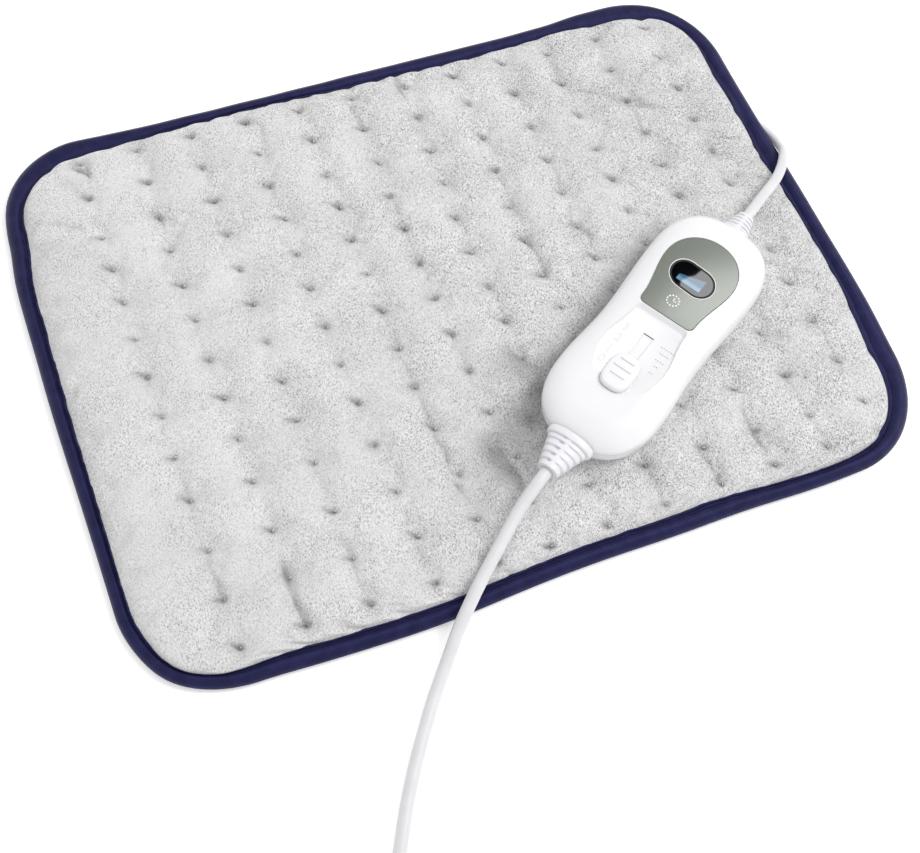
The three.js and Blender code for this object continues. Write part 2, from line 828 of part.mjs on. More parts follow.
// Recess: its floor is level, its walls slope, and it runs out where the top face meets the floor
function recessOutline(slope, sideSlope) {
  const topX = recessTop - slope;
  const topSide = recessTopWidth / 2 - sideSlope;
  const widest = recessWidth / 2 - sideSlope;
  const corner = Array.from({ length: 4 }, (_, k) => {
    const angle = k / 3 * Math.PI / 2;
    return new THREE.Vector2(
      topX - recessCorner * (1 - Math.cos(angle)),
      topSide - recessCorner * (1 - Math.sin(angle)),
    );
  });
  const end = quarter(-recessWidest, recessWidest - recessEnd - sideSlope, widest, 2.2, 8)
    .map((point) => new THREE.Vector2(-point.x, point.y))
    .toReversed();
  return mirrored([
    ...corner,
    ...swelling(topX - recessCorner, topSide, recessWidest, widest, 5).slice(1),
    ...end,
  ]);
}

function recessCutter() {
  return loft([
    raised(recessOutline(recessSlope, recessSideSlope), recessFloor),
    raised(recessOutline(0, 0), bodyHeight),
    raised(recessOutline(0, 0), bodyHeight + overrun),
  ]);
}

// Places of the slide switch along the controller
const stemHead = sliderTip - stemFromTip;
const stemTail = stemHead - stemLength;
const stemX = (stemHead + stemTail) / 2;
const carriageBottom = onBoard + switchBase + clearance;
const carriageTop = carriageBottom + carriageHeight;
const stemBottom = carriageTop + clearance;

function makeHousingTop() {
  const posts = postPlaces.map(([x, y]) =>
    post(topPostDiameter, x, y, partingHeight + halfGap, topAt(x) - wall));
  const screwHoles = postPlaces.map(([x, y]) => post(
    screwDiameter + 2 * clearance, x, y, 0, screwSeat + screwLength + clearance,
  ));
  const lcdRoom = block(
    [windowX - lcdSize[0] / 2 - clearance, -lcdSize[1] / 2 - clearance, partingHeight],
    [windowX + lcdSize[0] / 2 + clearance, lcdSize[1] / 2 + clearance, bodyHeight],
  );
  const slot = block(
    [stemTail - clearance, -stemWidth / 2 - clearance, partingHeight],
    [stemHead + sliderTravel + clearance, stemWidth / 2 + clearance, bodyHeight],
  );
  return cut(
    joined(cut(topBody(), topCavity()), ...posts),
    prism(plateOutline(clearance), plateUnder - clearance, bodyHeight + overrun),
    lcdRoom, slot, recessCutter(), ...reliefRooms, ...screwHoles,
  );
}

function makePlate() {
  return cut(
    prism(plateOutline(0), plateUnder, bodyHeight),
    prism(windowOutline(clearance), 0, bodyHeight + overrun),
  );
}

// Slider: a rounded cap with three grip ribs, and a stem through the slot with a socket
function makeSlider() {
  const bottom = recessFloor + clearance;
  const top = bottom + sliderHeight;
  const middle = sliderTip - sliderLength / 2;
  const capRing = (inset, height) => raised(
    oval(sliderLength - 2 * inset, sliderWidth - 2 * inset, sliderFullness, 24), height,
  ).map((point) => point.setX(point.x + middle));
  const cap = loft([
    capRing(0, bottom),
    capRing(0, top - sliderRounding),
    capRing(sliderRounding * 0.3, top - sliderRounding * 0.3),
    capRing(sliderRounding, top),
  ]);
  const ribs = ribWidths.map((width, k) => {
    const x = sliderTip - ribFromTip - k * ribPitch;
    return block(
      [x - ribThickness / 2, -width / 2, top - ribHeight],
      [x + ribThickness / 2, width / 2, top + ribHeight],
    );
  });
  const stem = block(
    [stemTail, -stemWidth / 2, stemBottom], [stemHead, stemWidth / 2, bottom + sliderHeight / 2],
  );
  const socket = standing(
    [carriagePost + 2 * clearance, carriagePost + 2 * clearance, overrun], stemX, 0,
    carriageTop + carriagePostHeight + clearance - overrun,
  );
  return cut(joined(cap, stem, ...ribs), socket);
}

function makeCarriage() {
  const plate = standing([carriageLength, carriageWidth, carriageHeight], stemX, 0, carriageBottom);
  const peg = block(
    [stemX - carriagePost / 2, -carriagePost / 2, carriageBottom],
    [stemX + carriagePost / 2, carriagePost / 2, carriageTop + carriagePostHeight],
  );
  return joined(plate, peg);
}

// Switch body: a trough on the board in which the carriage runs, with the spring along one side
const troughTail = stemX - carriageLength / 2 - clearance;
const troughHead = stemX + carriageLength / 2 + sliderTravel + clearance;
const troughRight = -carriageWidth / 2 - clearance;
const springRoom = springThickness + springWave + 2 * clearance;
const troughLeft = carriageWidth / 2 + springRoom;

function makeSwitchBody() {
  const outer = block(
    [troughTail - switchWall, troughRight - switchWall, onBoard],
    [troughHead + switchWall, troughLeft + switchWall, onBoard + switchBase + switchWallHeight],
  );
  const trough = block(
    [troughTail, troughRight, onBoard + switchBase],
    [troughHead, troughLeft, onBoard + switchBase + overrun],
  );
  return cut(outer, trough);
}

// Detent spring: a wavy leaf on edge whose waves give the slider its four stops
function makeDetentSpring() {
  const waves = 3;
  const count = 18;
  const middleX = (troughTail + troughHead) / 2;
  const line = Array.from({ length: count + 1 }, (_, k) => new THREE.Vector2(
    middleX + (k / count - 0.5) * springLength,
    troughLeft - clearance - springThickness
      - springWave * (1 - Math.cos(k / count * waves * 2 * Math.PI)) / 2,
  ));
  const far = line.toReversed().map((point) => new THREE.Vector2(point.x, point.y + springThickness));
  return new THREE.ExtrudeGeometry(new THREE.Shape([...line, ...far]), {
    depth: springHeight, bevelEnabled: false,
  }).translate(0, 0, onBoard + switchBase + clearance);
}

function makeBoard() {
  const inset = wall + clearance + lipThickness + boardMargin;
  const side = headWidth;
  return within(
    prism(housingOutline(inset), boardHeight, boardTop),
    block([boardTail, -side, 0], [boardHead, side, bodyHeight]),
  );
}

function makeScrew() {
  const head = screwHeadDiameter / 2;
  const shank = screwDiameter / 2;
  const profile = [
    [0, screwSeat - screwHeadHeight], [head * 0.8, screwSeat - screwHeadHeight],
    [head, screwSeat - screwHeadHeight / 2], [head, screwSeat], [shank, screwSeat],
    [shank, screwSeat + screwLength * 0.9], [shank / 2, screwSeat + screwLength],
    [0, screwSeat + screwLength],
  ];
  return new THREE.LatheGeometry(profile.map(([x, y]) => new THREE.Vector2(x, y)), 12)
    .rotateX(Math.PI / 2);
}

// A strain relief that stands out of an end face, towards -x or +x: collar and ribs, and inside
// the housing its neck and the flange that keeps it from being pulled out
function reliefBody({ length, width, height, end }, face, way) {
  const collarEnd = length * collarShare;
  const pitch = (length - collarEnd) / (ribCount - 1 + ribShare);
  const sizeAt = (x) => {
    const share = (x - collarEnd) / (length - collarEnd);
    return [width, height].map((size) => THREE.MathUtils.lerp(size * collarStepShare, end, share));
  };
  const sections = [
    [-reliefInner, flangeWidth, flangeHeight],
    [-flangeFace, flangeWidth, flangeHeight],
    [-flangeFace, neckWidth, neckHeight],
    [clearance, neckWidth, neckHeight],
    [clearance, width * 0.94, height * 0.94],
    [collarEnd * 0.4, width, height],
    [collarEnd * 0.8, width * 0.98, height * 0.98],
    [collarEnd, width * 0.9, height * 0.9],
  ];
  for (let rib = 0; rib < ribCount; rib += 1) {
    const from = collarEnd + rib * pitch;
    const to = from + ribShare * pitch;
    const next = from + pitch;
    const groove = (x) => [x, ...sizeAt(x).map((size) => size - 2 * grooveDepth)];
    sections.push([from + clearance / 4, ...sizeAt(from)], [to, ...sizeAt(to)]);
    if (rib < ribCount - 1) {
      sections.push(groove(to), groove(next));
    }
  }
  return loft(ovalRings(sections, face, way, 0, 14));
}

// A wire inside the housing from a strain relief to its landing on the board
function innerWire(fromX, toX, side) {
  const way = Math.sign(toX - fromX);
  const height = onBoard + innerWireDiameter / 2;
  const from = fromX + way * clearance;
  const run = toX - from;
  const curve = new THREE.CubicBezierCurve3(
    new THREE.Vector3(from, side * innerWireSide, height),
    new THREE.Vector3(from + run / 3, side * innerWireSide, height),
    new THREE.Vector3(from + run / 2, side * (innerWireSide + innerWireBow), height),
    new THREE.Vector3(toX, side * (innerWireSide + innerWireBow), height),
  );
  return tube(curve, innerWireDiameter, 6, 8);
}

const fuse = new THREE.CylinderGeometry(fuseDiameter / 2, fuseDiameter / 2, fuseLength, 12)
  .rotateZ(Math.PI / 2)
  .translate(...fusePlace, onBoard + fuseDiameter / 2);
const lcdPlace = [windowX, 0];
const lcdUnder = lcdTop - lcdThickness;
const lightBox = [lcdSize[0], lcdSize[1], lcdUnder - clearance - onBoard];

addPiece(controller, 'housing_bottom', makeHousingBottom(), whiteShell);
addPiece(controller, 'housing_top', makeHousingTop(), whiteShell);
addPiece(controller, 'display_plate', makePlate(), plateMetal);
addPiece(controller, 'display_window', prism(windowOutline(0), plateUnder, bodyHeight), windowBlack);
addPiece(controller, 'lcd_module', standing(lcdSize, ...lcdPlace, lcdUnder), lcdBlue);
addPiece(controller, 'lcd_light_box', standing(lightBox, ...lcdPlace, onBoard), softWhite);
addPiece(controller, 'slider_button', makeSlider(), whiteShell);
addPiece(controller, 'switch_carriage', makeCarriage(), darkPlastic);
addPiece(controller, 'switch_body', makeSwitchBody(), darkPlastic);
addPiece(controller, 'detent_spring', makeDetentSpring(), steel);
addPiece(controller, 'circuit_board', makeBoard(), boardGreen);
addPiece(controller, 'film_capacitor', standing(capacitorSize, ...capacitorPlace, onBoard), amber);
addPiece(controller, 'triac', standing(triacSize, ...triacPlace, onBoard), darkPlastic);
addPiece(controller, 'control_chip', standing(chipSize, ...chipPlace, onBoard), darkPlastic);
addPiece(controller, 'fuse', fuse, softWhite);
postPlaces.forEach(([x, y], k) => {
  addPiece(controller, `housing_screw_${k + 1}`, makeScrew(), steel).position.set(x, y, 0);
});
addPiece(controller, 'mains_strain_relief', reliefBody(mainsRelief, tailFace, -1), whiteShell);
addPiece(controller, 'pad_strain_relief', reliefBody(padRelief, headFace, 1), whiteShell);
[-1, 1].forEach((side, k) => {
  const mainsWire = innerWire(tailFace + reliefInner, boardTail + innerWireLanding, side);
  const padWire = innerWire(headFace - reliefInner, boardHead - innerWireLanding, side);
  addPiece(controller, `mains_wire_${k + 1}`, mainsWire, copper);
  addPiece(controller, `pad_wire_${k + 1}`, padWire, copper);
});

// Coil: one tube wound in layers, inwards and outwards by turns. It climbs to the next layer in
// the half turn where the spiral reverses.
const turnPitch = mainsDiameter + turnGap;
const coilSwing = turnsPerLayer * turnPitch / 2;
const coilTurns = coilLayers * turnsPerLayer;
const coilFloor = tieThickness + clearance + mainsDiameter / 2;
const coilTop = coilFloor + (coilLayers - 1) * turnPitch;
const coilAngle = (turns) => coilEntryAngle + turns * 2 * Math.PI;

function coilPoint(turns) {
  const layer = Math.min(Math.floor(turns / turnsPerLayer), coilLayers - 1);
  const share = turns / turnsPerLayer - layer;
  const inwards = layer % 2 === 0 ? 1 : -1;
  const radius = coilRadius + inwards * coilSwing * (1 - 2 * share);
  let height = coilFloor;
  for (let k = 1; k < coilLayers; k += 1) {
    const reversal = k * turnsPerLayer;
    height += turnPitch * THREE.MathUtils.smoothstep(turns, reversal - 0.25, reversal + 0.25);
  }
  const angle = coilAngle(turns);
  return new THREE.Vector3(
    coilX + radius * Math.cos(angle), coilY + radius * Math.sin(angle), height,
  );
}

function coilWay(turns) {
  const angle = coilAngle(turns);
  return new THREE.Vector3(-Math.sin(angle), Math.cos(angle), 0);
}

const coilStart = coilPoint(0).addScaledVector(coilWay(0), -mainsDiameter);
const coilEnd = coilPoint(coilTurns).addScaledVector(coilWay(coilTurns), mainsDiameter);
const coilSteps = Math.ceil(coilTurns * stepsPerTurn);
const woundPoints = Array.from({ length: coilSteps + 1 }, (_, k) =>
  coilPoint(k / coilSteps * coilTurns));
const coilLine = new RouteLine([coilStart, ...woundPoints, coilEnd]);

// The least gap between two stretches of a tube along a line, a turn or more apart
function leastGap(line, diameter, apart) {
  const { points } = line;
  const nearest = new THREE.Vector3();
  let least = Infinity;
  points.forEach((point, k) => {
    for (let other = k + apart; other < points.length - 1; other += 1) {
      new THREE.Line3(points[other], points[other + 1]).closestPointToPoint(point, true, nearest);
      least = Math.min(least, point.distanceTo(nearest));
    }
  });
  return least - diameter;
}

console.log(`Least gap in the coil: ${
  leastGap(coilLine, mainsDiameter, Math.round(stepsPerTurn / 2)).toFixed(2)} mm`);

// The tie is a closed band round all turns at one place
function makeTie() {
  const reach = coilSwing + mainsDiameter / 2 + clearance;
  const bend = tieWidth ** 2 / (8 * (coilRadius - coilSwing - mainsDiameter / 2));
  const inner = [[-reach - bend, coilFloor - mainsDiameter / 2 - clearance],
    [reach, coilTop + mainsDiameter / 2 + clearance]];
  const outer = [
    inner[0].map((value) => value - tieThickness), inner[1].map((value) => value + tieThickness),
  ];
  const side = tieWidth / 2;
  const band = cut(
    block([outer[0][0], -side, outer[0][1]], [outer[1][0], side, outer[1][1]]),
    block([inner[0][0], -side - overrun, inner[0][1]], [inner[1][0], side + overrun, inner[1][1]]),
  );
  return band.translate(coilRadius, 0, 0).rotateZ(tieAngle).translate(coilX, coilY, 0);
}

// Plug: a flat two-pin body that narrows towards its lead, lying on its broad side
const plug = new THREE.Group();
plug.position.set(plugX, plugY, 0);
plug.rotation.z = plugAngle;
const plugAxis = plugHeight / 2;

function plugBody() {
  const sections = [
    [0, plugEnd, plugEnd], [plugLength * 0.3, plugEnd * 1.1, plugEnd * 1.05],
    [plugLength * 0.5, plugWidth * 0.68, plugHeight * 0.94], [plugLength * 0.68, plugWidth, plugHeight],
    [plugLength, plugWidth, plugHeight],
  ];
  const body = loft(sections.map(([x, across, up]) => oval(across, up, plugFullness, 24)
    .map((point) => new THREE.Vector3(x, point.x, plugAxis + point.y))));
  const holes = pinSides.map((y) => pinShape(plugLength - pinDepth, plugLength + overrun, clearance)
    .translate(0, y, 0));
  return cut(body, ...holes);
}

const pinSides = [-pinSpacing / 2, pinSpacing / 2];
const pinShape = (from, to, grown) =>
  new THREE.CylinderGeometry(pinDiameter / 2 + grown, pinDiameter / 2 + grown, to - from, 12)
    .rotateZ(-Math.PI / 2)
    .translate((from + to) / 2, 0, plugAxis);

// A pin: a cylinder with a rounded tip, made by turning its outline
function makePin(y) {
  const radius = pinDiameter / 2;
  const inner = plugLength - pinDepth + clearance;
  const tip = plugLength + pinLength;
  const profile = [
    [0, inner], [radius, inner], [radius, tip - radius], [radius * 0.85, tip - radius * 0.45],
    [radius * 0.5, tip - radius * 0.12], [0, tip],
  ];
  return new THREE.LatheGeometry(profile.map(([x, along]) => new THREE.Vector2(x, along)), 12)
    .rotateZ(-Math.PI / 2)
    .translate(0, y, plugAxis);
}

// Free leads: each starts and ends straight, square to what it meets
const controllerWay = new THREE.Vector3(Math.cos(controllerAngle), Math.sin(controllerAngle), 0);
const plugWay = new THREE.Vector3(Math.cos(plugAngle), Math.sin(plugAngle), 0);
const plugRear = new THREE.Vector3(plugX, plugY, plugAxis);
const onAxis = (x) => new THREE.Vector3(controllerX, controllerY, controllerBase + partingHeight)
  .addScaledVector(controllerWay, x);
const mainsReliefEnd = onAxis(tailFace - mainsRelief.length);
const padReliefEnd = onAxis(headFace + padRelief.length);

// The straight start of a lead, at a gap from the face that it leaves
const straight = (face, way, diameter) => [
  face.clone().addScaledVector(way, clearance),
  face.clone().addScaledVector(way, clearance + diameter),
];

function leadTube(from, fromWay, route, to, toWay, diameter, sides) {
  const points = [
    ...straight(from, fromWay, diameter),
    ...route.map((place) => new THREE.Vector3(...place)),
    ...straight(to, toWay, diameter).toReversed(),
  ];
  const curve = new THREE.CatmullRomCurve3(points, false, 'centripetal');
  curve.arcLengthDivisions = 1000;
  return tube(curve, diameter, sides, Math.round(curve.getLength() / (stepShare * diameter)));
}

const back = (way) => way.clone().negate();

addPiece(model, 'pad_cord', leadTube(
  glandFace, glandWay, padLeadRoute, padReliefEnd, controllerWay, padLeadDiameter, 10,
), softWhite);
addPiece(model, 'mains_cord', leadTube(
  mainsReliefEnd, back(controllerWay), mainsRoute, coilStart, back(coilWay(0)), mainsDiameter, 10,
), softWhite);
addPiece(model, 'mains_coil', tube(coilLine, mainsDiameter, 6, coilSteps + 2), softWhite);
addPiece(model, 'mains_tail', leadTube(
  coilEnd, coilWay(coilTurns), tailRoute, plugRear, back(plugWay), mainsDiameter, 10,
), softWhite);
addPiece(model, 'coil_tie', makeTie(), darkPlastic);
model.add(plug);
addPiece(plug, 'plug_body', plugBody(), softWhite);
pinSides.forEach((y, k) => {
  addPiece(plug, `plug_pin_${k + 1}`, makePin(y), brass);
});

export default model;
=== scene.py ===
"""Heating pad with its hand controller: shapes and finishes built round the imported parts.

Lengths in the tables are millimetres in the part's own frame: X along the pad, Y across it, Z up.
Every mesh is made in metres at its place in that frame.
"""

import math

import bpy
import numpy as np
from bpy.props import FloatProperty, FloatVectorProperty, PointerProperty
from mathutils import Matrix, Vector


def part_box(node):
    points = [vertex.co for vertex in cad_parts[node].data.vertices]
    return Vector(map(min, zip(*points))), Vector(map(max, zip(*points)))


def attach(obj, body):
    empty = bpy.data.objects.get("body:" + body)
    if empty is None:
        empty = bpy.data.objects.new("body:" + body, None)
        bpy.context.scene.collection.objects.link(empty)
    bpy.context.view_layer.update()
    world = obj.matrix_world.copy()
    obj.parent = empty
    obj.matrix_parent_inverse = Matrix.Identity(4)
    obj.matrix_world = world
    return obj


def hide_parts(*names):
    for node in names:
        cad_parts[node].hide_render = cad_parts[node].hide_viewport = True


bl_info = {
    "name": "Heating pad with controller",
    "version": (1, 0, 0),
    "blender": (4, 5, 0),
    "location": "View3D > Sidebar > Heating pad",
    "description": "Builds a tufted heating pad, its controller and its leads",
    "category": "Add Mesh",
}

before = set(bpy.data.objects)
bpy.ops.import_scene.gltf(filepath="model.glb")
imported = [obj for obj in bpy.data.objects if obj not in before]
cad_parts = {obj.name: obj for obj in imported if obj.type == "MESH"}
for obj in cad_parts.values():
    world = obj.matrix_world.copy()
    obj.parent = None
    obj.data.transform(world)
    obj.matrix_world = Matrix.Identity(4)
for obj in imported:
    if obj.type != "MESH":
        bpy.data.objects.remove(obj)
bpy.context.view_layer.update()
MM = 0.001
PAD_BODY = "pad_and_housing"
SLIDER_BODY = "slider"


# Colours and node materials

def linear(colour):
    """Linear RGBA of an sRGB hex value; a colour that a setting holds is linear already."""
    if not isinstance(colour, str):
        return (*colour, 1.0)
    values = np.array([int(colour[k:k + 2], 16) for k in (1, 3, 5)]) / 255
    low = values / 12.92
    high = ((values + 0.055) / 1.055) ** 2.4
    return (*np.where(values <= 0.04045, low, high), 1.0)


def deeper(colour, share):
    """A colour brought down by a share of its sRGB value, as linear RGB."""
    return tuple(share ** 2.2 * value for value in linear(colour)[:3])


def add(tree, kind, inputs=None, **settings):
    """Adds a node, sets its attributes, and fills its sockets with values or with links."""
    node = tree.nodes.new(kind)
    for name, value in settings.items():
        setattr(node, name, value)
    for name, value in (inputs or {}).items():
        if isinstance(value, bpy.types.NodeSocket):
            tree.links.new(value, node.inputs[name])
        else:
            node.inputs[name].default_value = value
    return node


def new_material(name):
    """An empty node material and its tree."""
    material = bpy.data.materials.new(name)
    material.use_nodes = True
    material.node_tree.nodes.clear()
    return material, material.node_tree


def surface(tree, inputs):
    """Ends a material: a principled shader with the inputs given, joined to the output."""
    shader = add(tree, "ShaderNodeBsdfPrincipled", inputs)
    add(tree, "ShaderNodeOutputMaterial", {"Surface": shader.outputs["BSDF"]})


def mottled(tree, source, scale, low, high, detail):
    """A cloudy tone: noise that turns one colour into another, each given with the noise value at
    which it is full. Gives the socket of the colour."""
    noise = add(tree, "ShaderNodeTexNoise", {"Vector": source, "Scale": scale, "Detail": detail})
    tone = add(tree, "ShaderNodeValToRGB", {"Fac": noise.outputs["Fac"]})
    for element, (position, colour) in zip(tone.color_ramp.elements, (low, high)):
        element.position, element.color = position, linear(colour)
    return tone.outputs["Color"]


def per_mm(size):
    """Texture scale at which one cell of a pattern is the size given in millimetres."""
    return 1 / (size * MM)


def moulded(name, colour, roughness, grain=0.6, shade=0.94, relief=0.02, metallic=0.0, coat=0.0,
            coat_roughness=0.05):
    """Moulded or pressed stock: fine grain of the mould in millimetres, and a faint cloudy tone."""
    material, tree = new_material(name)
    place = add(tree, "ShaderNodeTexCoord").outputs["Object"]
    tone = mottled(tree, place, per_mm(9), (0.3, deeper(colour, shade)), (0.7, colour), 4)
    grain_noise = add(tree, "ShaderNodeTexNoise", {
        "Vector": place, "Scale": per_mm(grain), "Detail": 2.0,
    })
    sheen = add(tree, "ShaderNodeMapRange", {
        "Value": grain_noise.outputs["Fac"], "To Min": roughness * 0.85, "To Max": roughness * 1.15,
    })
    bump = add(tree, "ShaderNodeBump", {
        "Height": grain_noise.outputs["Fac"], "Strength": relief, "Distance": grain * MM / 4,
    })
    surface(tree, {
        "Base Color": tone, "Roughness": sheen.outputs["Result"],
        "Metallic": metallic, "Coat Weight": coat, "Coat Roughness": coat_roughness,
        "Normal": bump.outputs["Normal"],
    })
    return material


PLUSH = "polyester_short_pile_plush"
ACRYLIC_IOR = 1.49


def short_pile_plush(colour):
    """Brushed polyester velour. Its short locks lie in swirls: each is under a millimetre wide and
    shades the next one, so the face is pale with fine dark flecks. It is smoother where the pile is
    combed flat and at the left of the pad. Painted shade darkens it in the pits of the tufts, in
    creases, along folds and beside the controller, which the mesh gives as an attribute."""
    material, tree = new_material(PLUSH)
    place = add(tree, "ShaderNodeTexCoord").outputs["Object"]
    swirl = add(tree, "ShaderNodeTexNoise", {"Vector": place, "Scale": per_mm(16), "Detail": 2.0})
    bent = add(tree, "ShaderNodeVectorMath", {0: swirl.outputs["Color"], 1: (0.5, 0.5, 0.5)},
               operation="SUBTRACT")
    spread = add(tree, "ShaderNodeVectorMath", {0: bent.outputs["Vector"], "Scale": 7 * MM},
                 operation="SCALE")
    lie = add(tree, "ShaderNodeVectorMath", {0: place, 1: spread.outputs["Vector"]},
              operation="ADD")
    laid = add(tree, "ShaderNodeMapping", {
        "Vector": lie.outputs["Vector"], "Rotation": (0, 0, math.radians(-32)),
        "Scale": (1.0, 0.58, 1.0),
    })
    locks = add(tree, "ShaderNodeTexNoise", {
        "Vector": laid.outputs["Vector"], "Scale": per_mm(0.56), "Detail": 2.5, "Roughness": 0.62,
    })
    combed = add(tree, "ShaderNodeTexNoise", {"Vector": place, "Scale": per_mm(20), "Detail": 2.0})
    rough = add(tree, "ShaderNodeMapRange", {
        "Value": combed.outputs["Fac"], "From Min": 0.36, "From Max": 0.6,
        "To Min": 0.62, "To Max": 1.0,
    })
    apart = add(tree, "ShaderNodeSeparateXYZ", {"Vector": place})
    worn = add(tree, "ShaderNodeMapRange", {
        "Value": apart.outputs["X"], "From Min": -0.15, "From Max": 0.15,
        "To Min": 0.74, "To Max": 1.3,
    })
    strength = add(tree, "ShaderNodeMath", {0: rough.outputs["Result"], 1: worn.outputs["Result"]},
                   operation="MULTIPLY")
    pile = add(tree, "ShaderNodeMix", {0: strength.outputs["Value"], 2: 0.52,
                                       3: locks.outputs["Fac"]},
               data_type="FLOAT", clamp_factor=False)
    tone = add(tree, "ShaderNodeValToRGB", {"Fac": pile.outputs[0]})
    ramp = tone.color_ramp
    ramp.elements[0].position, ramp.elements[0].color = 0.35, (*deeper(colour, 0.62), 1)
    ramp.elements[1].position, ramp.elements[1].color = 0.64, linear(colour)
    ramp.elements.new(0.5).color = (*deeper(colour, 0.91), 1)
    patch = add(tree, "ShaderNodeTexNoise", {"Vector": place, "Scale": per_mm(34), "Detail": 3.0})
    patch_tone = add(tree, "ShaderNodeMapRange", {
        "Value": patch.outputs["Fac"], "From Min": 0.35, "From Max": 0.65,
        "To Min": 0.94, "To Max": 1.03,
    })
    even_tone = add(tree, "ShaderNodeMix", {0: 1.0, 6: tone.outputs["Color"],
                                            7: patch_tone.outputs["Result"]},
                    data_type="RGBA", blend_type="MULTIPLY")
    # Painted shade: the mesh's attribute mixes the pile towards dark grey
    painted_shade = add(tree, "ShaderNodeAttribute", attribute_name="painted_shade")
    deep = add(tree, "ShaderNodeMix", {0: painted_shade.outputs["Fac"], 6: even_tone.outputs[2],
                                       7: linear("#595959")}, data_type="RGBA")
    bump = add(tree, "ShaderNodeBump", {
        "Height": pile.outputs[0], "Strength": 0.8, "Distance": 0.6 * MM,
    })
    surface(tree, {
        "Base Color": deep.outputs[2], "Roughness": 0.95, "Sheen Weight": 0.15,
        "Sheen Roughness": 0.6, "Specular IOR Level": 0.15, "Normal": bump.outputs["Normal"],
    })
    return material


def woven_edge_tape(colour):
    """Polyester tape with a close satin face: fine ribs run across it, 0.8 mm apart, which is a
    little coarser than the real ones so that they show."""
    material, tree = new_material("polyester_ribbed_tape")
    along = add(tree, "ShaderNodeUVMap", uv_map="lie").outputs["UV"]
    wave = add(tree, "ShaderNodeTexWave", {
        "Vector": along, "Scale": per_mm(0.8) * math.pi / 10, "Distortion": 0.6, "Detail": 1.0,
    }, wave_type="BANDS", bands_direction="X")
    place = add(tree, "ShaderNodeTexCoord").outputs["Object"]
    tone = mottled(tree, place, per_mm(6), (0.35, deeper(colour, 0.8)), (0.65, colour), 4)
    bump = add(tree, "ShaderNodeBump", {
        "Height": wave.outputs["Fac"], "Strength": 0.5, "Distance": 0.15 * MM,
    })
    surface(tree, {
        "Base Color": tone, "Roughness": 0.42, "Sheen Weight": 0.04,
        "Sheen Roughness": 0.4, "Sheen Tint": linear("#5a5ac8"), "Specular IOR Level": 0.3,
        "Specular Tint": linear("#a9a6ff"), "Normal": bump.outputs["Normal"],
    })
    return material


def needled_felt():
    """Needle-punched polyester felt: matt, with matted fibres a few tenths of a millimetre thick."""
    return moulded("needled_polyester_felt", "#e6e2d8", 0.95, 0.5, 0.9, 0.6)


def metallic_lacquer(colour):
    """Metallic lacquer on a moulded plate: satin grey-green with fine flakes, so that large lights
    lie on it as soft fields."""
    material, tree = new_material("metallic_lacquered_plate")
    place = add(tree, "ShaderNodeTexCoord").outputs["Object"]
    tone = mottled(tree, place, per_mm(0.35), (0.35, deeper(colour, 0.94)), (0.65, colour), 2)
    flake = add(tree, "ShaderNodeTexNoise", {"Vector": place, "Scale": per_mm(0.2), "Detail": 1.0})
    rough = add(tree, "ShaderNodeMapRange", {
        "Value": flake.outputs["Fac"], "To Min": 0.08, "To Max": 0.15,
    })
    surface(tree, {"Base Color": tone, "Metallic": 0.1, "Roughness": rough.outputs["Result"]})
    return material


def back_printed_glass():
    """Acrylic window printed black on its back: it looks deep black and reflects like glass."""
    material, tree = new_material("back_printed_acrylic_window")
    place = add(tree, "ShaderNodeTexCoord").outputs["Object"]
    tone = mottled(tree, place, per_mm(7), (0.3, "#06070a"), (0.7, "#0a0b0e"), 2)
    surface(tree, {"Base Color": tone, "Roughness": 0.02, "IOR": ACRYLIC_IOR})
    return material


def lit_panel():
    """Backlit liquid crystal panel seen through the window: a blue glow, and over the part towards
    the slider a painted reflection that makes it brighter."""
    material, tree = new_material("backlit_display_panel")
    place = add(tree, "ShaderNodeTexCoord").outputs["Object"]
    along = add(tree, "ShaderNodeVectorMath", {0: place, 1: tuple(heading(TURN))},
                operation="DOT_PRODUCT")
    foot = float(CONTROLLER @ heading(TURN))
    # Edge of the painted reflection: towards the slider the panel shows glow and painted reflection,
    # further on the glow alone
    far = add(tree, "ShaderNodeMapRange", {
        "Value": along.outputs["Value"], "From Min": (foot + 28.6) * MM,
        "From Max": (foot + 29.8) * MM,
    })
    tone = mottled(tree, place, per_mm(4), (0.3, "#6d94b2"), (0.7, "#7da3bf"), 2)
    glow = add(tree, "ShaderNodeMix", {0: far.outputs["Result"], 6: tone, 7: linear("#486c84")},
               data_type="RGBA")
    surface(tree, {
        "Base Color": linear("#0a0f16"), "Roughness": 0.02, "IOR": ACRYLIC_IOR,
        "Emission Color": glow.outputs[2], "Emission Strength": 1.0,
    })
    return material


# Meshes from arrays

def signed_volume(points, quads):
    """Six times the volume under all quads, each as two triangles; above zero where they point
    outwards."""
    a, b, c, d = (points[quads[:, k]] for k in range(4))
    return float(np.einsum("ij,ij->", a, np.cross(b, c)) + np.einsum("ij,ij->", a, np.cross(c, d)))


def new_piece(name, points, quads, material, smooth=35.0, uv=None):
    """A closed mesh from points in metres; edges sharper than the angle given stay sharp."""
    if signed_volume(points, quads) < 0:
        quads = quads[:, ::-1]
        uv = None if uv is None else uv[:, ::-1]
    mesh = bpy.data.meshes.new(name)
    mesh.from_pydata(points.tolist(), [], quads.tolist())
    if uv is not None:
        layer = mesh.uv_layers.new(name="lie")
        layer.data.foreach_set("uv", uv.ravel().astype(np.float32))
    mesh.materials.append(material)
    piece = bpy.data.objects.new(name, mesh)
    bpy.context.scene.collection.objects.link(piece)
    set_shading(piece, smooth)
    return piece


def set_shading(piece, angle):
    """Smooth shading, but edges sharper than the angle given stay sharp."""
    piece.data.shade_smooth()
    piece.data.set_sharp_from_angle(angle=math.radians(angle))


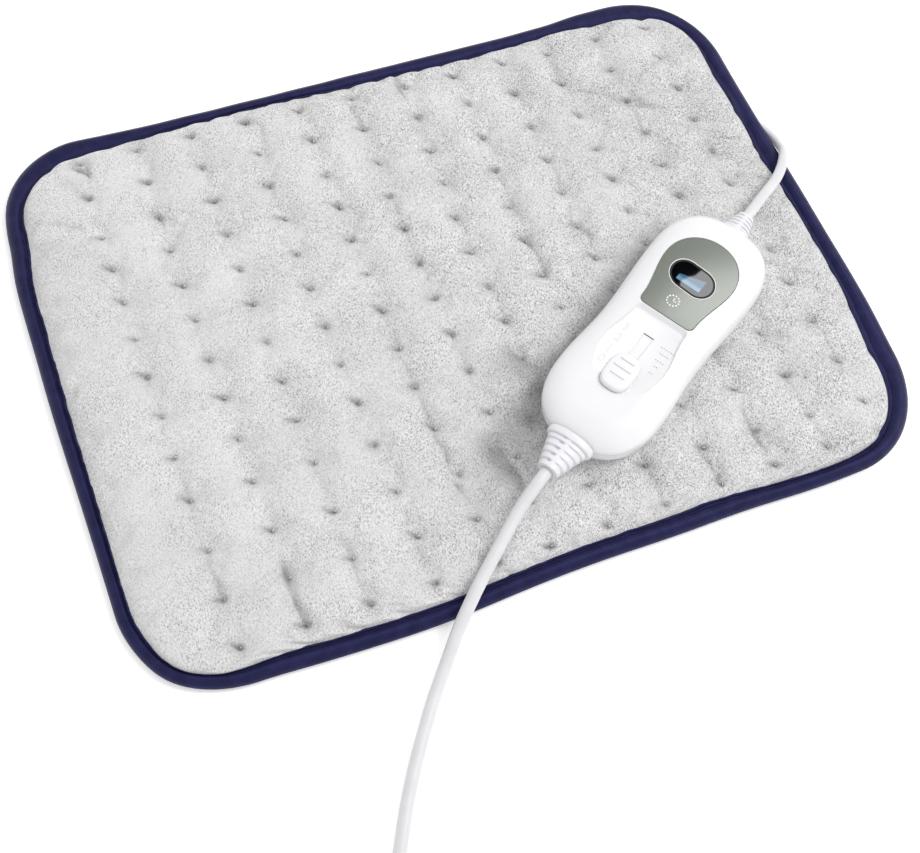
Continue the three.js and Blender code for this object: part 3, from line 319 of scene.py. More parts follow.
def band_faces(rings, around, loop=False):
    """Quads between neighbouring rings, each ring closed on itself; loop joins last to first."""
    ring = np.arange(rings if loop else rings - 1)[:, None] * around
    after = (ring + around) % (rings * around)
    k = np.arange(around)[None, :]
    nxt = (k + 1) % around
    quads = np.stack([ring + k, ring + nxt, after + nxt, after + k], axis=-1)
    return quads.reshape(-1, 4)


def ladder_faces(start, around):
    """Quads that close a ring from each point to the one that faces it."""
    k = np.arange(around // 2 - 1)
    facing = around - 1 - k
    return np.stack([start + k, start + facing, start + facing - 1, start + k + 1], axis=-1)


def lofted(rings, loop=False):
    """Points and quads of a closed surface through rings of equally many points."""
    rings = np.asarray(rings, float)
    count, around = rings.shape[:2]
    quads = band_faces(count, around, loop)
    if not loop:
        last = (count - 1) * around
        quads = np.concatenate([quads, ladder_faces(0, around), ladder_faces(last, around)[:, ::-1]])
    return rings.reshape(-1, 3), quads


def joined(bodies):
    """Points and quads of one mesh from the rings of many small closed bodies."""
    points, faces, start = [], [], 0
    for rings in bodies:
        body, quads = lofted(rings)
        points.append(body)
        faces.append(start + (quads[:, ::-1] if signed_volume(body, quads) < 0 else quads))
        start += len(body)
    return np.concatenate(points), np.concatenate(faces)


def carve(piece, cutters, operation="DIFFERENCE", smooth=35.0):
    """Cuts the cutters out of a piece, or joins them, and takes them away."""
    bpy.context.view_layer.objects.active = piece
    for cutter in cutters:
        step = piece.modifiers.new("cut", "BOOLEAN")
        step.operation = operation
        step.solver = "MANIFOLD"
        step.object = cutter
        bpy.ops.object.modifier_apply(modifier=step.name)
        bpy.data.objects.remove(cutter)
    if not piece.data.polygons:
        raise RuntimeError(f"{piece.name} is empty after its cuts")
    set_shading(piece, smooth)
    return piece


def finish(piece, body, slot, *nodes):
    """Puts a finished piece on its body and in place of its nodes; the slot is not used."""
    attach(piece, body)
    if nodes:
        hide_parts(*nodes)


# Outlines, in millimetres

def eased(share):
    """Smooth step of a share that is first held between 0 and 1: 3 share^2 - 2 share^3."""
    share = np.clip(share, 0, 1)
    return share * share * (3 - 2 * share)


def cubic(p0, p1, p2, p3, t):
    """Catmull-Rom curve from p1 to p2, with the points before and after them."""
    return p1 + 0.5 * t * (p2 - p0 + t * (2 * p0 - 5 * p1 + 4 * p2 - p3
                                          + t * (3 * (p1 - p2) + p3 - p0)))


def heading(turn):
    """Unit vector at an angle in the plane of the floor."""
    return np.array([math.cos(turn), math.sin(turn), 0])


def spin(turn):
    """Matrix that turns rows of coordinates about Z."""
    return np.array([[math.cos(turn), math.sin(turn), 0], [-math.sin(turn), math.cos(turn), 0],
                     [0, 0, 1]])


def run_of(points):
    """Distance along a line up to each of its points."""
    return np.concatenate([[0], np.cumsum(np.linalg.norm(np.diff(points, axis=0), axis=1))])


def turns(count):
    """Angles of even steps once round, the first one half a step from zero."""
    return (np.arange(count) + 0.5) * 2 * math.pi / count


def full_round(count, fullness):
    """Points of a unit oval: cosine and sine to the power 2/fullness, with their signs kept."""
    both = np.stack([np.cos(turns(count)), np.sin(turns(count))], axis=1)
    return np.sign(both) * np.abs(both) ** (2 / fullness)


def quarter(middle, reach_x, reach_y, fullness, steps):
    """Quarter of an oval: x is middle + reach_x cos^(2/fullness), y is reach_y sin^(2/fullness)."""
    angle = (np.arange(steps) + 0.5) * math.pi / 2 / steps
    return np.stack([middle + reach_x * np.cos(angle) ** (2 / fullness),
                     reach_y * np.sin(angle) ** (2 / fullness)], axis=1)


def swelling(x0, y0, x1, y1, steps):
    """A side whose half width goes from y0 to y1 by a cosine step; the last point is left out."""
    share = np.arange(steps) / steps
    return np.stack([x0 + (x1 - x0) * share, y0 + (y1 - y0) * (1 - np.cos(share * math.pi)) / 2],
                    axis=1)


def mirrored(half):
    """A whole outline from its upper half."""
    return np.concatenate([half, (half * [1, -1])[::-1]])


def oval(length, width, fullness, count):
    """An oval of even parameter steps, none of its points on an axis."""
    return full_round(count, fullness) * [length, width] / 2


def pushed_in(outline, inset):
    """An outline drawn in by the inset along its normals, turned inwards."""
    along = np.roll(outline, -1, axis=0) - np.roll(outline, 1, axis=0)
    along /= np.linalg.norm(along, axis=1, keepdims=True)
    return outline + inset * np.stack([-along[:, 1], along[:, 0]], axis=1)


def at_height(outline, height):
    """An outline with its height, one number or one for each point, as a third coordinate."""
    return np.column_stack([outline, np.broadcast_to(height, len(outline))])


# Pad

PAD_X, PAD_Y, PAD_CORNER = 200.0, 150.0, 50.0
TUFT_COLUMNS = np.array([-155.3, -126.2, -97.6, -68.4, -39.4, -12, 16.5, 46, 75, 103, 132, 162])
TUFT_ROWS = np.array([129, 108, 85.5, 64, 42.5, 21.5, 0, -22, -44, -67, -92, -116, -139])
MIDDLE_COLUMN, MIDDLE_ROW = 5.5, 6
# Half the height over which the columns bow, and where tufts end: their lowest place along Y,
# and how far the tape reaches over the cover
BOW_HALF = 134
LOWEST_TUFT = -138.5
TAPE_REACH = 9.5


def tuft_column_x(column, y):
    """Where a column of tufts runs at a height on the pad: it bows and fans out by its place."""
    across, along = (column - MIDDLE_COLUMN) / MIDDLE_COLUMN, -y / BOW_HALF
    return TUFT_COLUMNS[column] + 1.1 * across * along + 1.6 * along ** 2


# Where the stitching drifts off its rows: middle, half width, and shift
TUFT_DRIFTS = [
    ((-85, 50), 55, (0.6, 2.4)), ((25, 108), 38, (3.4, -0.4)), ((48, 16), 42, (-2.8, -3.4)),
    ((100, 60), 26, (0, -2.6)), ((150, 75), 34, (1.4, 2.2)), ((-60, -110), 45, (1.6, 0)),
    ((110, -110), 50, (2.2, 0.6)), ((-155, 90), 24, (-1.6, -3.6)), ((-11, -90), 14, (3.4, -1.4)),
    ((-38, -90), 14, (1.8, -0.6)),
]


def tuft_places():
    """Places of the tufts: the rows slope down to the right, and none lies under the tape."""
    wander = np.random.default_rng(8).uniform(-0.5, 0.5, (len(TUFT_COLUMNS), len(TUFT_ROWS), 2))
    places = []
    for column in range(len(TUFT_COLUMNS)):
        across = (column - MIDDLE_COLUMN) / MIDDLE_COLUMN
        for row, row_y in enumerate(TUFT_ROWS):
            along = (row - MIDDLE_ROW) / MIDDLE_ROW
            y = max(row_y - 4.2 * across - 0.8 * across * along - 1.3 * across ** 2, LOWEST_TUFT)
            x = tuft_column_x(column, y)
            drift = np.array([0.9, 1.5]) + wander[column, row]
            for (middle_x, middle_y), width, shift in TUFT_DRIFTS:
                away = math.hypot(x - middle_x, y - middle_y)
                drift += np.array(shift) * math.exp(-(away / width) ** 2)
            x, y = x + drift[0], y + drift[1]
            if pad_inset(x, y) > TAPE_REACH:
                places.append((x, y))
    return places


def pad_outline(inset, steps=40, side_steps=170):
    """The pad's rounded rectangle, counterclockwise, with points along its straight sides too."""
    radius = PAD_CORNER - inset
    middle = np.array([PAD_X - PAD_CORNER, PAD_Y - PAD_CORNER])
    signs = [(1, 1), (-1, 1), (-1, -1), (1, -1)]
    pieces = []
    for corner in range(4):
        angle = (corner + np.arange(steps + 1) / steps) * math.pi / 2
        arc = middle * signs[corner] + radius * np.stack([np.cos(angle), np.sin(angle)], axis=1)
        turn = (corner + 1) * math.pi / 2
        after = (middle * signs[(corner + 1) % 4]
                 + radius * np.array([math.cos(turn), math.sin(turn)]))
        share = (np.arange(1, side_steps) / side_steps)[:, None]
        pieces += [arc, arc[-1] + (after - arc[-1]) * share]
    return np.concatenate(pieces)


def pad_inset(x, y):
    """How far a point lies inside the pad's outline."""
    beyond_x = np.abs(x) - (PAD_X - PAD_CORNER)
    beyond_y = np.abs(y) - (PAD_Y - PAD_CORNER)
    corner = np.hypot(np.maximum(beyond_x, 0), np.maximum(beyond_y, 0))
    return PAD_CORNER - corner - np.minimum(np.maximum(beyond_x, beyond_y), 0)


# Where the sewn rim bows out or is drawn in: angle round the pad, half width in degrees, and mm
RIM_BOWS = [(-110, 12, 2.8), (-75, 8, 0.8), (-57, 8, 2.0), (-37, 9, -2.6), (0, 22, 0.4),
            (56, 5, 1.4), (75, 14, 0.4), (129, 6, 1.7), (145, 6, -3.2), (180, 16, 0.7),
            (-136, 4, 1.3), (-127, 4, -1.0)]
# Where the tape is turned in more or less than usual, in the same way
TAPE_TURNS = [(-34, 9, 3.5), (-53, 4, -1.4), (-59, 8, -1.6), (12, 6, 1.7), (33, 6, 0.8),
              (51, 5, 4.0), (74, 9, 0.8), (105, 9, -1.3), (130, 8, 5.0), (145, 6, 0.8),
              (-150, 18, -1.0), (-135, 4, -1.3)]


def bells(angle, places):
    """Sum of bells round the pad: each at its angle, with its half width and its height."""
    total = np.zeros_like(angle)
    for middle, width, height in places:
        off = (angle - middle + 180) % 360 - 180
        total += height * np.exp(-(off / width) ** 2)
    return total


def sewn(x, y):
    """Moves points of the even pad to where the sewn one has them: along the rim's normal, by the
    rim's bow and by the width of the tape, both fading out 43 mm inside."""
    inset = pad_inset(x, y)
    angle = np.degrees(np.arctan2(y / PAD_Y, x / PAD_X))
    bow = bells(angle, RIM_BOWS)
    turned = 1.2 + 1.6 * np.cos(np.radians(angle - 20)) + bells(angle, TAPE_TURNS)
    out = (bow - turned * eased((inset - 3) / 5)) * (1 - eased((inset - 9) / 34))
    beyond = np.stack([np.maximum(np.abs(x) - (PAD_X - PAD_CORNER), 0),
                       np.maximum(np.abs(y) - (PAD_Y - PAD_CORNER), 0)])
    beyond /= np.maximum(np.hypot(*beyond), 1e-6)
    return x + out * beyond[0] * np.sign(x), y + out * beyond[1] * np.sign(y)


def corner_lift(x, y):
    """The far right corner stands a little off the floor: a bell 4 mm high."""
    return 4.0 * np.exp(-(((x - 168) / 45) ** 2 + ((y - 138) / 40) ** 2))


# Cells after which the noise repeats, and the cell at the pad's middle
NOISE_CELLS, NOISE_START = 256, (97.3, 61.7)


def value_noise(x, y, cell, seed):
    """Smooth noise from -1 to 1: random values on a square grid, joined by smooth steps."""
    table = np.random.default_rng(seed).uniform(-1, 1, (NOISE_CELLS + 1, NOISE_CELLS + 1))
    u, v = x / cell + NOISE_START[0], y / cell + NOISE_START[1]
    i, j = np.floor(u).astype(int), np.floor(v).astype(int)
    s, t = eased(u - i), eased(v - j)
    i0, j0, i1, j1 = (k % NOISE_CELLS for k in (i, j, i + 1, j + 1))
    low = table[i0, j0] * (1 - s) + table[i1, j0] * s
    high = table[i0, j1] * (1 - s) + table[i1, j1] * s
    return low * (1 - t) + high * t


# Share of a quarter turn that the sine of the rows takes: the larger, the closer the last rows lie
ROW_SHARE = 0.72


def pad_grid(inset, step):
    """A grid whose rows narrow into the pad's round corners: x is a share of the row's width, and
    y is a sine, so that the rows lie closer at both ends."""
    half_x, half_y, radius = PAD_X - inset, PAD_Y - inset, PAD_CORNER - inset
    columns = int(round(2 * half_x / step)) + 1
    rows = int(round(2 * half_y / step)) + 1
    share = np.linspace(-1, 1, columns)
    y = half_y * np.sin(np.linspace(-1, 1, rows) * math.pi / 2 * ROW_SHARE)
    y = y / math.sin(math.pi / 2 * ROW_SHARE)
    over = np.clip(np.abs(y) - (half_y - radius), 0, radius)
    width = half_x - radius + np.sqrt(np.maximum(radius ** 2 - over ** 2, 0))
    return width[:, None] * share[None, :], np.broadcast_to(y[:, None], (rows, columns)).copy()


# Step of the cloth's grid, how many times finer the cover is, and where its hem lies
CLOTH_STEP, FINE = 4.0, 4
HEM_INSET, HEM_HEIGHT = 7.4, 5.0
# Lowest and highest height of the cover inside its rim, how far in its crown rises, the
# thickness of its backing, and the height of the back's inner face
PIT_FLOOR, PLUSH_MOST = 6.7, 12.4
CROWN_RUN = 9.0
BACKING = 0.25
BACK_TOP = 2.25
# The cloth is simulated ten times as large, where the solver is steadier
LARGER = 10
CLOTH_FRAMES = 20
# Furthest that the cloth may move a point along X, Y and Z
CLOTH_LIMIT = np.array([2.0, 2.0, 3.2])
CLOTH = {
    "vertex_group_mass": "pins", "quality": 6, "mass": 0.4, "tension_stiffness": 12,
    "compression_stiffness": 12, "shear_stiffness": 6, "bending_stiffness": 1.5,
    "shrink_min": -0.035, "use_pressure": True, "uniform_pressure_force": 4.0,
}


def crown_rise(inset):
    """Share of the crown's height: a quarter circle that starts at the hem and ends 9 mm inside."""
    rise = np.clip((inset - HEM_INSET) / CROWN_RUN, 0, 1)
    return np.sqrt(np.maximum(1 - (1 - rise) ** 2, 0))


def cloth_grid(x, y):
    """The plush sheet after its simulation: held at its hem and tufts and blown up from below."""
    rows, columns = x.shape
    crown = bpy.context.scene.heatpad_pad.crown / MM
    wave = 0.9 * value_noise(x, y, 6, 5)
    z = HEM_HEIGHT + (crown - HEM_HEIGHT) * crown_rise(pad_inset(x, y) + wave)
    x, y = sewn(x, y)
    points = np.stack([x, y, z], axis=-1)
    held = np.zeros((rows, columns), bool)
    held[0, :] = held[-1, :] = held[:, 0] = held[:, -1] = True
    points[held, 2] = HEM_HEIGHT
    for tuft_x, tuft_y in tuft_places():
        nearest = np.unravel_index(np.argmin(np.hypot(x - tuft_x, y - tuft_y)), x.shape)
        if not held[nearest]:
            held[nearest] = True
            points[nearest][2] -= 0.6
    return simulated(points, held)


def simulated(points, held):
    """Steps a cloth from the grid given, with the held points pinned, and returns its points. None
    moves further than the limit, which a hyperbolic tangent brings in softly."""
    rows, columns = held.shape
    k = np.arange((rows - 1) * columns).reshape(rows - 1, columns)[:, :-1].ravel()
    faces = np.stack([k, k + 1, k + columns + 1, k + columns], axis=1)
    mesh = bpy.data.meshes.new("sheet")
    mesh.from_pydata((points.reshape(-1, 3) * MM * LARGER).tolist(), [], faces.tolist())
    sheet = bpy.data.objects.new("sheet", mesh)
    bpy.context.scene.collection.objects.link(sheet)
    pins = sheet.vertex_groups.new(name=CLOTH["vertex_group_mass"])
    pins.add(np.flatnonzero(held.ravel()).tolist(), 1.0, "REPLACE")
    cloth = sheet.modifiers.new("cloth", "CLOTH")
    for name, value in CLOTH.items():
        setattr(cloth.settings, name, value)
    cloth.settings.effector_weights.gravity = 0.0
    cloth.collision_settings.use_collision = False
    cloth.point_cache.frame_start, cloth.point_cache.frame_end = 1, CLOTH_FRAMES
    scene = bpy.context.scene
    for number in range(1, CLOTH_FRAMES + 1):
        scene.frame_set(number)
    shown = sheet.evaluated_get(bpy.context.evaluated_depsgraph_get())
    moved = np.empty(len(shown.data.vertices) * 3)
    shown.data.vertices.foreach_get("co", moved)
    moved = moved.reshape(rows, columns, 3) / (MM * LARGER)
    bpy.data.objects.remove(sheet)
    scene.frame_set(1)
    return points + CLOTH_LIMIT * np.tanh((moved - points) / CLOTH_LIMIT)


def finer(values, factor):
    """Values between grid points by a cubic through four neighbours, along both directions."""
    for axis in (0, 1):
        values = np.moveaxis(values, axis, 0)
        count = values.shape[0]
        place = np.arange((count - 1) * factor + 1) / factor
        k = np.minimum(place.astype(int), count - 2)
        t = (place - k).reshape(-1, *[1] * (values.ndim - 1))
        values = cubic(values[np.maximum(k - 1, 0)], values[k], values[k + 1],
                       values[np.minimum(k + 2, count - 1)], t)
        values = np.moveaxis(values, 0, axis)
    return values


def closed_sheet(top, underside):
    """Points and quads of a sheet: its top grid, its underside grid, and a strip round the edge."""
    rows, columns = top.shape[:2]
    points = np.concatenate([top.reshape(-1, 3), underside.reshape(-1, 3)])
    under = rows * columns
    k = np.arange(under).reshape(rows, columns)
    quads = np.stack([k[:-1, :-1], k[:-1, 1:], k[1:, 1:], k[1:, :-1]], axis=-1).reshape(-1, 4)
    rim = np.concatenate([k[0, :-1], k[:-1, -1], k[-1, :0:-1], k[:0:-1, 0]])
    after = np.roll(rim, -1)
    strip = np.stack([rim, rim + under, after + under, after], axis=1)
    return points, np.concatenate([quads, quads[:, ::-1] + under, strip])


# Creases along the columns of tufts: column, from and to along Y, and depth in millimetres
CREASES = [
    (0, 12, -30, 0.3), (0, -46, -84, 0.5), (0, -92, -112, 0.6), (1, 96, 70, 0.45),
    (1, 30, -20, 0.25), (1, -104, -137, 1.9), (2, -64, -92, 0.4), (2, -98, -134, 0.7),
    (3, 10, -30, 0.3), (3, -100, -130, 0.6), (4, 70, 20, 0.25), (4, 0, -44, 0.6),
    (4, -44, -122, 1.0), (5, 126, 108, 0.8), (5, 62, 6, 0.6), (5, -30, -50, 0.4),
    (5, -62, -74, 0.4), (6, 142, 122, 1.2), (6, 66, 20, 0.35), (6, -4, -40, 0.8),
    (7, 62, 30, 0.6), (7, 20, -6, 1.3), (7, -110, -136, 0.8), (8, 60, 34, 0.5),
    (8, 20, 4, 0.9), (8, -112, -138, 1.0), (9, 126, 96, 0.5), (9, -104, -128, 1.4),
    (10, 84, 60, 0.7), (10, -86, -134, 0.6), (11, 80, 34, 0.6), (11, -60, -100, 0.6),
]
# Rumples that don't follow a column: from, to and depth
RUMPLES = [
    ((108, 98), (150, 70), 0.8), ((112, 82), (158, 84), 0.6), ((128, 110), (140, 76), 0.6),
    ((148, 62), (180, 40), 0.7), ((140, 92), (170, 106), 0.5), ((-182, 104), (-160, 92), 0.5),
    ((158, 24), (182, 12), 0.6), ((150, -30), (178, -50), 0.5), ((96, -126), (120, -118), 0.5),
    ((60, 128), (92, 118), 0.4), ((-157, 132), (-150, 122), 2.2), ((-150, 131), (-151, 121), 1.8),
]
# Where the controller's weight draws the plush into a fold, with painted shade along one side:
# from and to, the width of its shaded side, and how dark that painted shade is, which also sets
# how deep the fold is
FOLDS = [
    ((-14, -71), (-11, -109), 11, 0.74), ((8, -30), (25, -60), 16, 0.5),
    ((-38, -86), (-37, -112), 7, 0.2),
]


def beside(x, y, start, end):
    """How far points lie across a line and along it, and the line's length."""
    (x0, y0), (x1, y1) = start, end
    length = math.hypot(x1 - x0, y1 - y0)
    ux, uy = (x1 - x0) / length, (y1 - y0) / length
    return (x - x0) * uy - (y - y0) * ux, (x - x0) * ux + (y - y0) * uy, length


def sink_tufts(x, y, height, painted_shade):
    """Each tuft is a steep pit with a shallow wing to the left and a soft dip round both, all bells
    on axes turned so that the wing points along the row. Painted shade darkens the pit and the wing,
    and a soft painted shadow lies below and left of them."""
    for number, (tuft_x, tuft_y) in enumerate(tuft_places()):
        dx, dy = x - tuft_x, y - tuft_y
        near = (np.abs(dx) < 18) & (np.abs(dy) < 15)
        lean = math.radians(-22 + 12 * math.sin(4.1 * number))
        along = dx[near] * math.cos(lean) + dy[near] * math.sin(lean)
        up = dy[near] * math.cos(lean) - dx[near] * math.sin(lean)
        size = 1 + 0.25 * math.sin(2.3 * number)
        wing = np.exp(-(((along + 2.0) / (2.9 * size)) ** 2 + ((up + 0.12 * along) / 1.15) ** 2))
        shade = np.exp(-(((along + 3.0) / 4.2) ** 2 + ((up + 1.2) / 2.4) ** 2))
        pit = np.exp(-((along / 1.3) ** 2 + (up / 1.4) ** 2))
        bowl = np.exp(-((along / 8.5) ** 2 + (up / 6.5) ** 2))
        height[near] -= 0.9 * size * wing + 0.9 * pit + 0.7 * bowl
        # Painted shade of the pit and wing, and a soft painted shadow beside them
        painted_shade[near] = np.maximum(painted_shade[near], 0.44 * size * wing + 0.5 * pit + 0.13 * shade)


def sink_creases(x, y, height, painted_shade):
    """A crease is a narrow bell across its line, with a low swelling beside it; painted shade
    darkens its line.
    """
    lines = [(tuft_column_x(column, y) - x, y - low, top - y, depth)
             for column, top, low, depth in CREASES]
    for start, end, depth in RUMPLES:
        across, along, length = beside(x, y, start, end)
        lines.append((across, along, length - along, depth))
    for across, after, before, depth in lines:
        near = (np.abs(across) < 14) & (after > -8) & (before > -8)
        inside = np.clip(after[near] / 8 + 0.5, 0, 1) * np.clip(before[near] / 8 + 0.5, 0, 1)
        strength = inside * (0.75 + 0.5 * value_noise(x[near], y[near], 7, 33))
        off = across[near] + 1.1 * value_noise(x[near], y[near], 8, 31)
        height[near] -= depth * strength * np.exp(-(off / 1.2) ** 2)
        height[near] += 0.45 * depth * strength * np.exp(-((off + 4) / 3) ** 2)
        # Painted shade along the crease: darkest in its line, with a softer band beside it
        closed = np.clip(0.4 * depth, 0, 0.6) * strength
        closed *= 0.7 * np.exp(-(off / 0.9) ** 2) + 0.3 * np.exp(-((off + 1) / 3.2) ** 2)
        painted_shade[near] = np.maximum(painted_shade[near], closed)


def sink_folds(x, y, height, painted_shade):
    """A fold is a bell across its line, with a low swelling beside it, and painted shade on its wide
    side.
    """
    for start, end, width, dark in FOLDS:
        off, along, length = beside(x, y, start, end)
        off = off + 1.2 * value_noise(x, y, 8, 37)
        inside = np.clip(along / 14, 0, 1) * np.clip((length + 4 - along) / 14, 0, 1)
        height -= 3 * dark * inside * np.exp(-((off - 1) / 2.2) ** 2)
        height += 1.2 * dark * inside * np.exp(-((off + 4) / 2.6) ** 2)
        # Painted shade on the fold's wide side
        side = np.exp(-(off / np.where(off > 0, width, 1.1)) ** 2)
        fold = dark * inside * side * (0.95 + 0.2 * value_noise(x, y, 6, 39))
        np.maximum(painted_shade, fold, out=painted_shade)


def painted_controller_shadow(x, y):
    """Painted shadow of the controller on the pile: a bell across its far flank, and a bell on an
    oval round its lower end."""
    dx, dy = x - CONTROLLER[0], y - CONTROLLER[1]
    along = dx * math.cos(TURN) + dy * math.sin(TURN)
    across = dy * math.cos(TURN) - dx * math.sin(TURN)
    flank = 0.8 * np.exp(-((across - 29) / 10) ** 2) * np.clip((80 - np.abs(along)) / 24, 0, 1)
    reach = np.hypot(along / 76, across / 26)
    bearing = np.degrees(np.arctan2(across / 26, along / 76))
    end = np.exp(-((reach - 1.34) / 0.36) ** 2 - ((bearing - 132) / 27) ** 2)
    return 0.66 * (np.maximum(flank, end) * (0.9 + 0.3 * value_noise(x, y, 9, 35)))


def pile_detail(x, y):
    """Heights to add to the sheet, and how much painted shade darkens the pile, from 0 to 1. Puffs
    stand between the columns and rows of tufts by cosines, and the pile's locks are smooth noise."""
    height = np.zeros_like(x)
    painted_shade = np.zeros_like(x)
    sink_tufts(x, y, height, painted_shade)
    sink_creases(x, y, height, painted_shade)
    sink_folds(x, y, height, painted_shade)
    painted_shade = np.maximum(painted_shade, painted_controller_shadow(x, y))
    column = np.interp(x, TUFT_COLUMNS, np.arange(float(len(TUFT_COLUMNS))))
    row = np.interp(-y, -TUFT_ROWS, np.arange(float(len(TUFT_ROWS))))
    height += 0.42 * np.cos(2 * math.pi * (column - 0.5))
    height += 0.16 * np.cos(2 * math.pi * (row - 0.5))
    height += 0.40 * value_noise(x, y, 15, 11) + 0.18 * value_noise(x, y, 5, 12)
    height += 0.09 * value_noise(x + 2 * value_noise(x, y, 8, 13), y, 2.2, 14)
    return height, painted_shade


def build_plush_top():
    """The plush cover: simulated sheet, made four times finer, with its pits, creases and pile."""
    x, y = pad_grid(HEM_INSET, CLOTH_STEP)
    top = finer(cloth_grid(x, y), FINE)
    inset = finer(pad_inset(x, y)[..., None], FINE)[..., 0]
    inner = np.clip((inset - HEM_INSET) / 5, 0, 1)
    height, painted_shade = pile_detail(top[..., 0], top[..., 1])
    top[..., 2] += height * inner
    lowest = np.where(inset > 10, PIT_FLOOR, HEM_HEIGHT)
    top[..., 2] = np.clip(top[..., 2], lowest, PLUSH_MOST)
    lift = corner_lift(top[..., 0], top[..., 1])
    underside = top.copy()
    underside[..., 2] = np.minimum(PIT_FLOOR, top[..., 2]) - BACKING + lift
    top[..., 2] += lift
    points, quads = closed_sheet(top, underside)
    plush = short_pile_plush(bpy.context.scene.heatpad_pad.plush)
    piece = new_piece("plush_cover", points * MM, quads, plush, 180)
    # Painted shade and shadow for the plush material, one value for each point
    tone = piece.data.attributes.new("painted_shade", "FLOAT", "POINT")
    tone.data.foreach_set("value", np.tile(painted_shade.ravel() * inner.ravel(), 2))
    finish(piece, PAD_BODY, "plush", "top_cover")
    build_stitches(top)


def build_stitches(top):
    """A short thread bar in each tuft: a bent oval rod, at the height of the plush there."""
    rods = []
    along = np.linspace(-1, 1, 5)
    for number, (x, y) in enumerate(tuft_places()):
        nearest = np.unravel_index(
            np.argmin(np.hypot(top[..., 0] - x, top[..., 1] - y)), top.shape[:2])
        way = 0.5 + 0.5 * math.sin(3.1 * number)
        radius = 0.36 * np.sqrt(1 - (0.93 * along) ** 2)
        line = np.stack([x + 0.7 + along * math.cos(way), y + 0.5 + along * math.sin(way),
                         top[nearest][2] + 0.5 - 0.35 * along ** 2], axis=1)
        rods.append(swept(line, radius[:, None, None] * full_round(6, 2)))
    points, quads = joined(rods)
    # Spun polyester, set in the pile: matt and nearly as pale as the plush
    thread = moulded("polyester_sewing_thread", "#dadade", 0.6, 0.4, 0.9, 0.3)
    piece = new_piece("tuft_stitches", points * MM, quads, thread, 60)
    finish(piece, PAD_BODY, "plush")


def build_pad_back():
    """The back: the same plush, flat where it lies, drawn up a little at each tuft."""
    drawn_up = 0.9
    x, y = pad_grid(HEM_INSET, CLOTH_STEP)
    low = np.zeros_like(x)
    for tuft_x, tuft_y in tuft_places():
        low += drawn_up * np.exp(-(np.hypot(x - tuft_x, y - tuft_y) / 5) ** 2)
    low = np.minimum(low, drawn_up) + 0.08 * (1 + value_noise(x, y, 6, 21))
    edge = np.clip((pad_inset(x, y) - HEM_INSET) / 6, 0, 1)
    low += drawn_up * (1 - edge) ** 2
    lift = corner_lift(x, y)
    x, y = sewn(x, y)
    bottom = np.stack([x, y, low + lift], axis=-1)
    upper = np.stack([x, y, BACK_TOP + lift], axis=-1)
    points, quads = closed_sheet(upper, bottom)
    piece = new_piece("pad_back", points * MM, quads, bpy.data.materials[PLUSH], 180)
    finish(piece, PAD_BODY, "plush_back", "bottom_cover")


def build_padding():
    """The felt layer under the plush: flat, drawn in with the rim, and cut out round the blocks
    and the lead's boot, which stand through it."""
    low, high = (np.array(corner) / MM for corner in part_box("padding_layer"))
    x, y = pad_grid(PAD_X - high[0] + 1.5, 8.0)
    lift = corner_lift(x, y)
    x, y = sewn(x, y)
    upper = np.stack([x, y, high[2] + lift], axis=-1)
    lower = np.stack([x, y, low[2] + lift], axis=-1)
    points, quads = closed_sheet(upper, lower)
    felt = needled_felt()
    piece = new_piece("felt_padding", points * MM, quads, felt, 60)
    cutters = []
    for node in ("junction_block", "thermal_cutout_1", "thermal_cutout_2", "pad_entry_gland"):
        first, last = (np.array(corner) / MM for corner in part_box(node))
        body, body_quads = lofted(box_rings((*first[:2] - GAP, -2.0), (*last[:2] + GAP, 14.0)))
        cutters.append(new_piece("room", body * MM, body_quads, felt))
    carve(piece, cutters, smooth=60)
    finish(piece, PAD_BODY, "padding", "padding_layer")


# Section of the tape: how far inside the pad's outline, and height, counterclockwise from where its
# upper leg meets the plush, with the groove of its seam at 6.5
TAPE_PROFILE = np.array([
    (8.2, 4.9), (8.1, 5.6), (7.7, 5.95), (7.1, 5.8), (6.5, 4.7), (5.8, 5.6), (4.7, 6.4),
    (3.3, 6.35), (2.0, 5.7), (0.9, 4.8), (0.2, 3.7), (0.0, 2.9), (0.3, 1.8), (1.1, 0.8),
    (2.2, 0.2), (3.6, 0.0), (5.5, 0.0), (7.2, 0.1), (8.2, 0.7), (8.2, 1.2), (4.4, 1.3),
    (3.2, 2.6), (3.6, 4.3), (6.0, 4.9),
])
TAPE_GROOVE, TAPE_FINE = 6.5, 3
# Where the lead's entry boot lies under the tape
BOOT_UNDER_TAPE = (191, 69)


